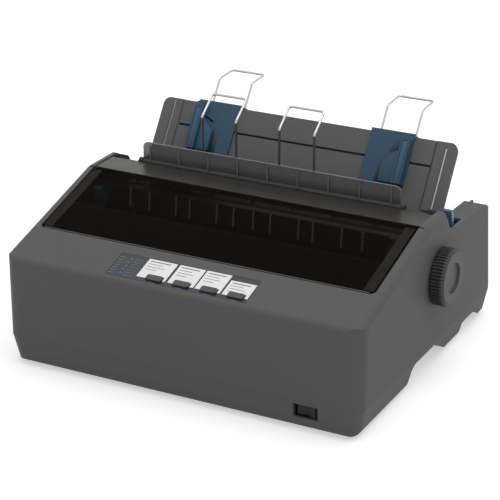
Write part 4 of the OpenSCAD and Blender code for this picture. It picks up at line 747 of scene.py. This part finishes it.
# how nearly a face has to look outwards: the least product of its normal with that way
LOOKS_OUT = 0.9


class PRINTER_OT_line_track(bpy.types.Operator):
    """Close the sheet guide's track from behind with a near-black channel, painted shade seen through the
    slot
    """

    bl_idname = "printer.line_track"
    bl_label = "Line track"

    def execute(self, context):
        width = 2 * TRACK_HALF + LINING_SPARE
        centre = on_guide(0, TRACK_S, -GUIDE_THICK - LINING_THICK / 2)
        channel = block(centre, (width * MM, LINING_THICK * MM, LINING_TALL * MM), GUIDE_TURN)
        # the face on the guide is sunk, so that the edge guides' runners pass in front of it
        outward = (on_guide(0, 0, 1) - on_guide(0, 0, 0)).normalized()
        polygons = channel.data.polygons
        pick(channel, faces=[face.index for face in polygons if face.normal.dot(outward) > LOOKS_OUT])
        bpy.ops.mesh.inset(thickness=LINING_BORDER * MM)
        bpy.ops.transform.translate(value=-outward * LINING_SINK * MM)
        bpy.ops.object.mode_set(mode="OBJECT")
        finished(channel, "guide_track_lining", "sheet_guide", "track")
        return {"FINISHED"}


# each strip's name, place across, upper end, height off the guide and finish: the pale strips are painted
# highlights on the borders, brighter on the right, and the dark line is painted shade at the right border
BEADS = (("guide_bead_left", -140.3, 76.5, 1.32, "grey_bead"),
         ("guide_bead_right", 143.0, 71.5, 1.92, "bead"),
         ("guide_shade_line_right", 131.7, 76.5, 0.1, "track"))
BEAD_FOOT = 13.8
BEAD_WIDE = 1.3
BEAD_THICK = 0.3


class PRINTER_OT_trim_guide(bpy.types.Operator):
    """Lay thin pale strips as painted highlights, and a dark line as painted shade, on the sheet guide's
    borders
    """

    bl_idname = "printer.trim_guide"
    bl_label = "Trim guide"

    def execute(self, context):
        for name, x, top, n, look in BEADS:
            centre = on_guide(x, (BEAD_FOOT + top) / 2, n)
            bead = fine_bar(centre, (BEAD_WIDE, BEAD_THICK, top - BEAD_FOOT), GUIDE_TURN)
            finished(bead, name, "sheet_guide", look)
        return {"FINISHED"}


# each fence's left edge from the middle, and its way outwards
FENCES = {"left": (-113.7, -1), "right": (100.8, 1)}
FENCE_WIDE = 9.0
FENCE_FOOT = 30.0
PLATE_FACE = 2.45

LID_INSET = 2.0
LID_SPAN = (2.2, 41.0)
LID_HEIGHTS = (4.0, 10.15)
LID_BREAK = 0.3

# outlines beside a fence, on its inner side: each corner's distance from it and rise above its foot
BRACE = ((-0.1, 0.4), (14, 0.4), (14, 20), (-0.1, 33))
BRACE_HEIGHTS = (1.9, 7.4)
BRACE_BREAK = 0.7
# the groove and the pocket are thin dark sheets: painted shade
GROOVE_SHADE = ((13.6, 0.6), (19.8, 0.6), (18, 20), (13.6, 24))
POCKET_TOP = {"left": 36, "right": 45}
SHADE_HEIGHTS = (PLATE_FACE - 0.1, PLATE_FACE + 0.12)
SHADE_BREAK = 0.05


def pocket_outline(top):
    """The four corners of the dark sheet painted as the shadow in the pocket above a brace, up to a height
    beside the fence.
    """
    return (0.1, 33.5), (12, 30), (8, top - 6), (0.1, top)


def lid_outline(left_edge):
    """The four corners of a fence's lid, in x and s."""
    x0, x1 = left_edge + LID_INSET, left_edge + FENCE_WIDE - LID_INSET
    low, high = FENCE_FOOT + LID_SPAN[0], FENCE_FOOT + LID_SPAN[1]
    return (x0, low), (x1, low), (x1, high), (x0, high)


# a new plane's vertices, in order round it
PLANE_ROUND = (0, 1, 3, 2)


def guide_prism(outline, heights, break_by):
    """A four-sided piece on the sheet guide: its corners in x and s, between two heights off the guide."""
    low, high = heights
    clear_selection()
    bpy.ops.mesh.primitive_plane_add(size=1, location=(0, 0, 0))
    item = bpy.context.object
    for index, (x, s) in zip(PLANE_ROUND, outline):
        pick(item, vertices=[index])
        bpy.ops.transform.translate(value=on_guide(x, s, low) - item.data.vertices[index].co)
    pick(item, faces=[0])
    rise = on_guide(0, 0, high) - on_guide(0, 0, low)
    bpy.ops.mesh.extrude_region_move(TRANSFORM_OT_translate={"value": rise})
    close_outwards()
    return softened(item, break_by * MM, steps=2)


class PRINTER_OT_fill_fences(bpy.types.Operator):
    """Close the edge guides' hollow fences with lids in a lighter blue painted as light, and add each one's
    brace, and thin dark sheets painted as the shade in its pocket and groove
    """

    bl_idname = "printer.fill_fences"
    bl_label = "Fill fences"

    def execute(self, context):
        for side, (left_edge, way) in FENCES.items():
            inner = left_edge if way > 0 else left_edge + FENCE_WIDE
            lid = guide_prism(lid_outline(left_edge), LID_HEIGHTS, LID_BREAK)
            finished(lid, "fence_lid_" + side, "edge_" + side, "lit_fence_blue")
            pocket = pocket_outline(POCKET_TOP[side])
            for name, outline, heights, break_by, look in (
                    ("fence_brace_", BRACE, BRACE_HEIGHTS, BRACE_BREAK, "blue"),
                    ("fence_pocket_shade_", pocket, SHADE_HEIGHTS, SHADE_BREAK, "painted_shade_blue"),
                    ("fence_groove_shade_", GROOVE_SHADE, SHADE_HEIGHTS, SHADE_BREAK, "painted_shade_blue")):
                corners = [(inner - off * way, FENCE_FOOT + up) for off, up in outline]
                piece = guide_prism(corners, heights, break_by)
                finished(piece, name + side, "edge_" + side, look)
        return {"FINISHED"}


# ---- Operators: pieces on, under and behind the cover ----------------------------

PAD_TURN = (math.radians(4), 0, 0)
PAD_AT = (-146.8, -36.2, 125.5)
PAD_SIZE = (9.4, 6.6, 16.0)
PAD_ROUNDING = 1.6
RIDGE_AT = (-146.8, -39.5, 121.5)
RIDGE_SIZE = (7.6, 0.7, 0.9)
RIDGE_PITCH = 2.6
RIDGES = 4


class PRINTER_OT_pad_lever(bpy.types.Operator):
    """Put the ridged finger pad on the thickness lever"""

    bl_idname = "printer.pad_lever"
    bl_label = "Pad thickness lever"

    def execute(self, context):
        pad_size = [v * MM for v in PAD_SIZE]
        pad = block(on_case(*PAD_AT), pad_size, PAD_TURN, round_by=PAD_ROUNDING * MM, steps=3)
        ridge = fine_bar(on_case(*RIDGE_AT), RIDGE_SIZE, PAD_TURN)
        ridges = [ridge] + [copied(ridge, (0, 0, i * RIDGE_PITCH * MM)) for i in range(1, RIDGES)]
        finished(joined([pad, *ridges]), "thickness_pad", "thickness", "pad_blue")
        return {"FINISHED"}


SLOPE_TURN = (SLOPE, 0, 0)
COVER_HALF = 163.8
COVER_V = (49.4, 146.1)

# heights are those of a piece's middle above the slope
LIP_HEIGHT = 0.05
LIP_INSET = 6.2
LIP_SIZE = (9.5, COVER_V[1] - COVER_V[0] - 6, 0.12)
LIP_ROUNDING = 0.04
# a pale strip along the cover's front edge: a painted highlight
EDGE_HIGHLIGHT_UP = 0.8
EDGE_HIGHLIGHT_HEIGHT = 0.05
EDGE_HIGHLIGHT_SIZE = (2 * COVER_HALF - 8, 0.9, 0.16)
FOLD_V = 90.5
FOLD_HEIGHT = 0.03
FOLD_SIZE = (2 * COVER_HALF - 24, 0.8, 0.1)


class PRINTER_OT_trim_cover(bpy.types.Operator):
    """Trim the smoked cover: its side lips, a pale strip painted as a highlight along its front edge, and
    the fold across it
    """

    bl_idname = "printer.trim_cover"
    bl_label = "Trim cover"

    def execute(self, context):
        middle = sum(COVER_V) / 2
        for name, side in (("cover_lip_left", -1), ("cover_lip_right", 1)):
            centre = on_slope(side * (COVER_HALF - LIP_INSET), middle, LIP_HEIGHT)
            lip = block(centre, [v * MM for v in LIP_SIZE], SLOPE_TURN, round_by=LIP_ROUNDING * MM)
            finished(lip, name, "cover", "smoke_lip")
        edge_highlight = fine_bar(on_slope(0, COVER_V[0] + EDGE_HIGHLIGHT_UP, EDGE_HIGHLIGHT_HEIGHT), EDGE_HIGHLIGHT_SIZE, SLOPE_TURN)
        finished(edge_highlight, "cover_edge_highlight_strip", "cover", "cover_edge_highlight")
        fold = fine_bar(on_slope(0, FOLD_V, FOLD_HEIGHT), FOLD_SIZE, SLOPE_TURN)
        finished(fold, "cover_fold", "cover", "smoke_fold")
        return {"FINISHED"}


SEPARATOR_Y = 19.8
SEPARATOR_FOOT = 143.7
SEPARATOR_TALL = 19.0
SEPARATOR_THICK = 2.4
SEPARATOR_HALF = 131.0
SEPARATOR_PITCH = 30.7
SEPARATOR_RIBS_EACH_SIDE = 4

FOOT_SIZE = (2 * SEPARATOR_HALF - 1, 1.4, 4.0)
FOOT_OUT = 0.5
FOOT_DROP = 0.3
# the crown is a pale strip along the upper edge, a painted highlight
CROWN_SIZE = (2 * SEPARATOR_HALF - 10, SEPARATOR_THICK - 0.4, 0.3)
CROWN_RISE = 0.16
CREST_SIZE = (1.5, 0.24, SEPARATOR_TALL - 3.5)
CREST_OUT = 1.32


class PRINTER_OT_trim_separator(bpy.types.Operator):
    """Give the separator its foot, and pale strips as painted highlights along its upper edge and on the
    crests of its ribs
    """

    bl_idname = "printer.trim_separator"
    bl_label = "Trim separator"

    def execute(self, context):
        top = SEPARATOR_FOOT + SEPARATOR_TALL
        face = SEPARATOR_Y - SEPARATOR_THICK / 2
        foot = fine_bar(on_case(0, face - FOOT_OUT, SEPARATOR_FOOT - FOOT_DROP), FOOT_SIZE)
        finished(foot, "separator_foot", "separator", "separator")
        crown = fine_bar(on_case(0, SEPARATOR_Y, top + CROWN_RISE), CROWN_SIZE)
        crest = fine_bar(on_case(0, face - CREST_OUT, SEPARATOR_FOOT + SEPARATOR_TALL / 2), CREST_SIZE)
        places = range(-SEPARATOR_RIBS_EACH_SIDE, SEPARATOR_RIBS_EACH_SIDE + 1)
        copies = [copied(crest, (i * SEPARATOR_PITCH * MM, 0, 0)) for i in places if i]
        highlight_strips = joined([crown, crest, *copies])
        finished(highlight_strips, "separator_highlights", "separator", "separator_highlight")
        return {"FINISHED"}


# the paper ribs: their distances from the middle, and the y and z of their front edge's ends
EJECT_RIBS = (10, 27, 55, 69, 97, 117)
EJECT_FOOT = (-31.0, 114.0)
EJECT_HEAD = (-29.0, 132.0)
# a painted highlight's width and thickness, and how far it is moved in y and z
RIB_HIGHLIGHT_SIZE = (1.5, 0.6)
RIB_HIGHLIGHT_SHIFT = (0.08, 3)


class PRINTER_OT_highlight_ribs(bpy.types.Operator):
    """Put pale strips on the paper ribs under the cover, painted highlights on their front edges"""

    bl_idname = "printer.edge_ribs"
    bl_label = "Highlight paper ribs"

    def execute(self, context):
        run, rise = EJECT_HEAD[0] - EJECT_FOOT[0], EJECT_HEAD[1] - EJECT_FOOT[1]
        turn = (-math.atan2(run, rise), 0, 0)
        middle = [(EJECT_FOOT[i] + EJECT_HEAD[i]) / 2 + RIB_HIGHLIGHT_SHIFT[i] for i in (0, 1)]
        nearest = EJECT_RIBS[0]
        highlight_bar = fine_bar(on_case(nearest, *middle), (*RIB_HIGHLIGHT_SIZE, math.hypot(run, rise)), turn)
        places = [side * x for x in EJECT_RIBS for side in (-1, 1)]
        copies = [copied(highlight_bar, ((x - nearest) * MM, 0, 0)) for x in places if x != nearest]
        edges = joined([highlight_bar, *copies])
        finished(edges, "paper_rib_highlights", "chassis", "rib_highlight")
        return {"FINISHED"}


# ---- Operators: print on the control panel --------------------------------------

# each card's left and right edges from the middle, and its upper edge up the slope
CARD_X = ((-42.5, -14.5), (-12.0, 13.0), (14.5, 38.5), (40.5, 65.0))
CARD_TOP = (36.4, 36.4, 36.4, 30.5)
CARD_N = 0.15
CARD_MARGIN = (2.5, 3.0)
BAR_PITCH = 3.6
BAR_SHARES = (0.72, 0.5, 0.62, 0.4)
HEAD_BAR_THICK = 1.1
BAR_THICK = 0.6

# each column of marks beside the lights: its place across and its length
MARK_COLUMNS = ((-67.5, 5.2), (-52.5, 5.0), (-47.5, 2.2))
MARK_ROWS = 7
MARK_V = 9.5
MARK_PITCH = 3.7
MARK_THICK = 0.7
BUTTON_X = (-25.0, 1.5, 28.0, 54.0)
LABEL_V = 6.6
LABEL_SIZE = (7.0, 0.8)
FILM_N = -0.1


class PRINTER_OT_print_cards(bpy.types.Operator):
    """Lay plain bars on the panel's cards and small marks on its film"""

    bl_idname = "printer.print_cards"
    bl_label = "Print cards"

    def execute(self, context):
        sizes = context.scene.printer_sizes
        bars = []
        for (x0, x1), top in zip(CARD_X, CARD_TOP):
            for row in range(sizes.card_bars):
                length = (x1 - x0) * BAR_SHARES[row % len(BAR_SHARES)]
                v = top - CARD_MARGIN[1] - row * BAR_PITCH
                centre = on_slope(x0 + CARD_MARGIN[0] + length / 2, v, CARD_N)
                thick = BAR_THICK if row else HEAD_BAR_THICK
                bars.append(mark(centre, length * MM, thick * MM, sizes.mark_height, SLOPE_TURN))
        finished(joined(bars), "card_bars", "chassis", "ink")
        marks = []
        for row in range(MARK_ROWS):
            for x, length in MARK_COLUMNS:
                centre = on_slope(x, MARK_V + row * MARK_PITCH, FILM_N)
                marks.append(mark(centre, length * MM, MARK_THICK * MM, sizes.mark_height, SLOPE_TURN))
        length, thick = (v * MM for v in LABEL_SIZE)
        for x in BUTTON_X:
            marks.append(mark(on_slope(x, LABEL_V, FILM_N), length, thick, sizes.mark_height, SLOPE_TURN))
        finished(joined(marks), "film_marks", "chassis", "pale_ink")
        return {"FINISHED"}


# ---- Stage ----------------------------------------------------------------------

# places and sizes of the stage are in metres, those of the camera's lens in mm
CAMERA_AT = Vector((0.7227, -1.4241, 0.7526))
CAMERA_AZIMUTH = math.radians(27.42)
CAMERA_RISE = math.radians(22.76)
CAMERA_LENS = 136.16
CAMERA_SENSOR = 36
CAMERA_SHIFT = (0.00116, 0.0074)
CAMERA_CLIP = (0.1, 60)
KEY_AT = Vector((0.4, 0.1, 2.7))
KEY_AIM = Vector((0, 0, 0.1))
KEY_SIDE = 1.8
BACKDROP_GLOW = 0.5
FLOOR_ROUGHNESS = 0.9
FLOOR_PALER = 1.02
FLOOR_SCALE = 3.0
WHITE = (1, 1, 1, 1)


def seen_directly(tree):
    """One where the camera looks at a surface straight, mirrored in something or through it."""
    ray = add_node(tree, "ShaderNodeLightPath")
    mirrored = maths(tree, "MAXIMUM", ray.outputs["Is Camera Ray"], ray.outputs["Is Glossy Ray"])
    return maths(tree, "MAXIMUM", mirrored, ray.outputs["Is Transmission Ray"])


def pale_surface(name, colour):
    """A pale surface that shows as white to the camera but keeps its shadows."""
    material = bpy.data.materials.new(name)
    material.use_nodes = True
    tree = material.node_tree
    shader = tree.nodes["Principled BSDF"]
    shader.inputs["Roughness"].default_value = FLOOR_ROUGHNESS
    paler = tuple(min(1.0, v * FLOOR_PALER) for v in colour)
    patches = noise(tree, object_place(tree), FLOOR_SCALE)
    tree.links.new(mix_colour(tree, patches, colour, paler), shader.inputs["Base Color"])
    shader.inputs["Emission Color"].default_value = WHITE
    glow = maths(tree, "MULTIPLY", seen_directly(tree), BACKDROP_GLOW)
    tree.links.new(glow, shader.inputs["Emission Strength"])
    return material


def lay_floor(sizes, colours):
    clear_selection()
    bpy.ops.mesh.primitive_grid_add(x_subdivisions=4, y_subdivisions=4, size=sizes.floor_size,
                                    location=(0, 0, CAD_LO[2]))
    floor = bpy.context.object
    bpy.ops.object.transform_apply(location=True, rotation=True, scale=True)
    floor.name = "floor"
    floor.data.materials.append(pale_surface("Pale floor", tuple(colours.floor)))
    floor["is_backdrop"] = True


def light_sky(strength):
    """An even sky of some strength, which the camera sees as white."""
    world = bpy.data.worlds.new("studio")
    world.use_nodes = True
    bpy.context.scene.world = world
    tree = world.node_tree
    sky = tree.nodes["Background"]
    sky.inputs["Color"].default_value = WHITE
    to_white = maths(tree, "MULTIPLY", seen_directly(tree), 1.0 - strength)
    tree.links.new(maths(tree, "ADD", strength, to_white), sky.inputs["Strength"])


def hang_key_light(power):
    lamp = bpy.data.lights.new("key", "AREA")
    lamp.shape = "SQUARE"
    lamp.size = KEY_SIDE
    lamp.energy = power
    item = bpy.data.objects.new("key", lamp)
    bpy.context.scene.collection.objects.link(item)
    item.location = KEY_AT
    item.rotation_euler = (KEY_AIM - KEY_AT).to_track_quat("-Z", "Y").to_euler()


def set_camera():
    """The camera, turned by its azimuth and rise, with no roll."""
    lens = bpy.data.cameras.new("camera")
    camera = bpy.data.objects.new("camera", lens)
    bpy.context.scene.collection.objects.link(camera)
    lens.lens = CAMERA_LENS
    lens.sensor_width = CAMERA_SENSOR
    lens.shift_x, lens.shift_y = CAMERA_SHIFT
    lens.clip_start, lens.clip_end = CAMERA_CLIP
    ca, sa = math.cos(CAMERA_AZIMUTH), math.sin(CAMERA_AZIMUTH)
    ce, se = math.cos(CAMERA_RISE), math.sin(CAMERA_RISE)
    back = Vector((sa * ce, -ca * ce, se))
    right = Vector((ca, sa, 0))
    turn = Matrix((right, back.cross(right), back)).transposed()
    camera.matrix_world = Matrix.Translation(CAMERA_AT) @ turn.to_4x4()
    bpy.context.scene.camera = camera


class PRINTER_OT_build_stage(bpy.types.Operator):
    """Lay the floor, light the sky, hang the key light and set the camera"""

    bl_idname = "printer.build_stage"
    bl_label = "Build stage"

    def execute(self, context):
        scene = context.scene
        sizes, colours = scene.printer_sizes, scene.printer_colours
        lay_floor(sizes, colours)
        light_sky(sizes.sky)
        hang_key_light(sizes.key_power)
        set_camera()
        scene.view_settings.view_transform = "Standard"
        return {"FINISHED"}


# ---- Add-on ---------------------------------------------------------------------

OPERATORS = (PRINTER_OT_mix_finishes, PRINTER_OT_dress_case, PRINTER_OT_dress_panel,
             PRINTER_OT_dress_mechanism, PRINTER_OT_line_track, PRINTER_OT_trim_guide,
             PRINTER_OT_fill_fences, PRINTER_OT_pad_lever, PRINTER_OT_trim_cover,
             PRINTER_OT_trim_separator, PRINTER_OT_highlight_ribs, PRINTER_OT_print_cards,
             PRINTER_OT_build_stage)


class PRINTER_PT_looks(bpy.types.Panel):
    """Lists the printer's colours, sizes and steps"""

    bl_idname = "PRINTER_PT_looks"
    bl_label = "Printer looks"
    bl_space_type = "VIEW_3D"
    bl_region_type = "UI"
    bl_category = "Printer"

    def draw(self, context):
        for group in (context.scene.printer_colours, context.scene.printer_sizes):
            box = self.layout.box()
            for key in group.__annotations__:
                box.prop(group, key)
        for operator in OPERATORS:
            self.layout.operator(operator.bl_idname)


CLASSES = (PrinterColours, PrinterSizes, *OPERATORS, PRINTER_PT_looks)


def register():
    for cls in CLASSES:
        bpy.utils.register_class(cls)
    bpy.types.Scene.printer_colours = PointerProperty(type=PrinterColours)
    bpy.types.Scene.printer_sizes = PointerProperty(type=PrinterSizes)


def unregister():
    del bpy.types.Scene.printer_sizes
    del bpy.types.Scene.printer_colours
    for cls in reversed(CLASSES):
        bpy.utils.unregister_class(cls)


def main():
    register()
    for operator in OPERATORS:
        group, name = operator.bl_idname.split(".")
        getattr(getattr(bpy.ops, group), name)()


if __name__ == "__main__":
    main()
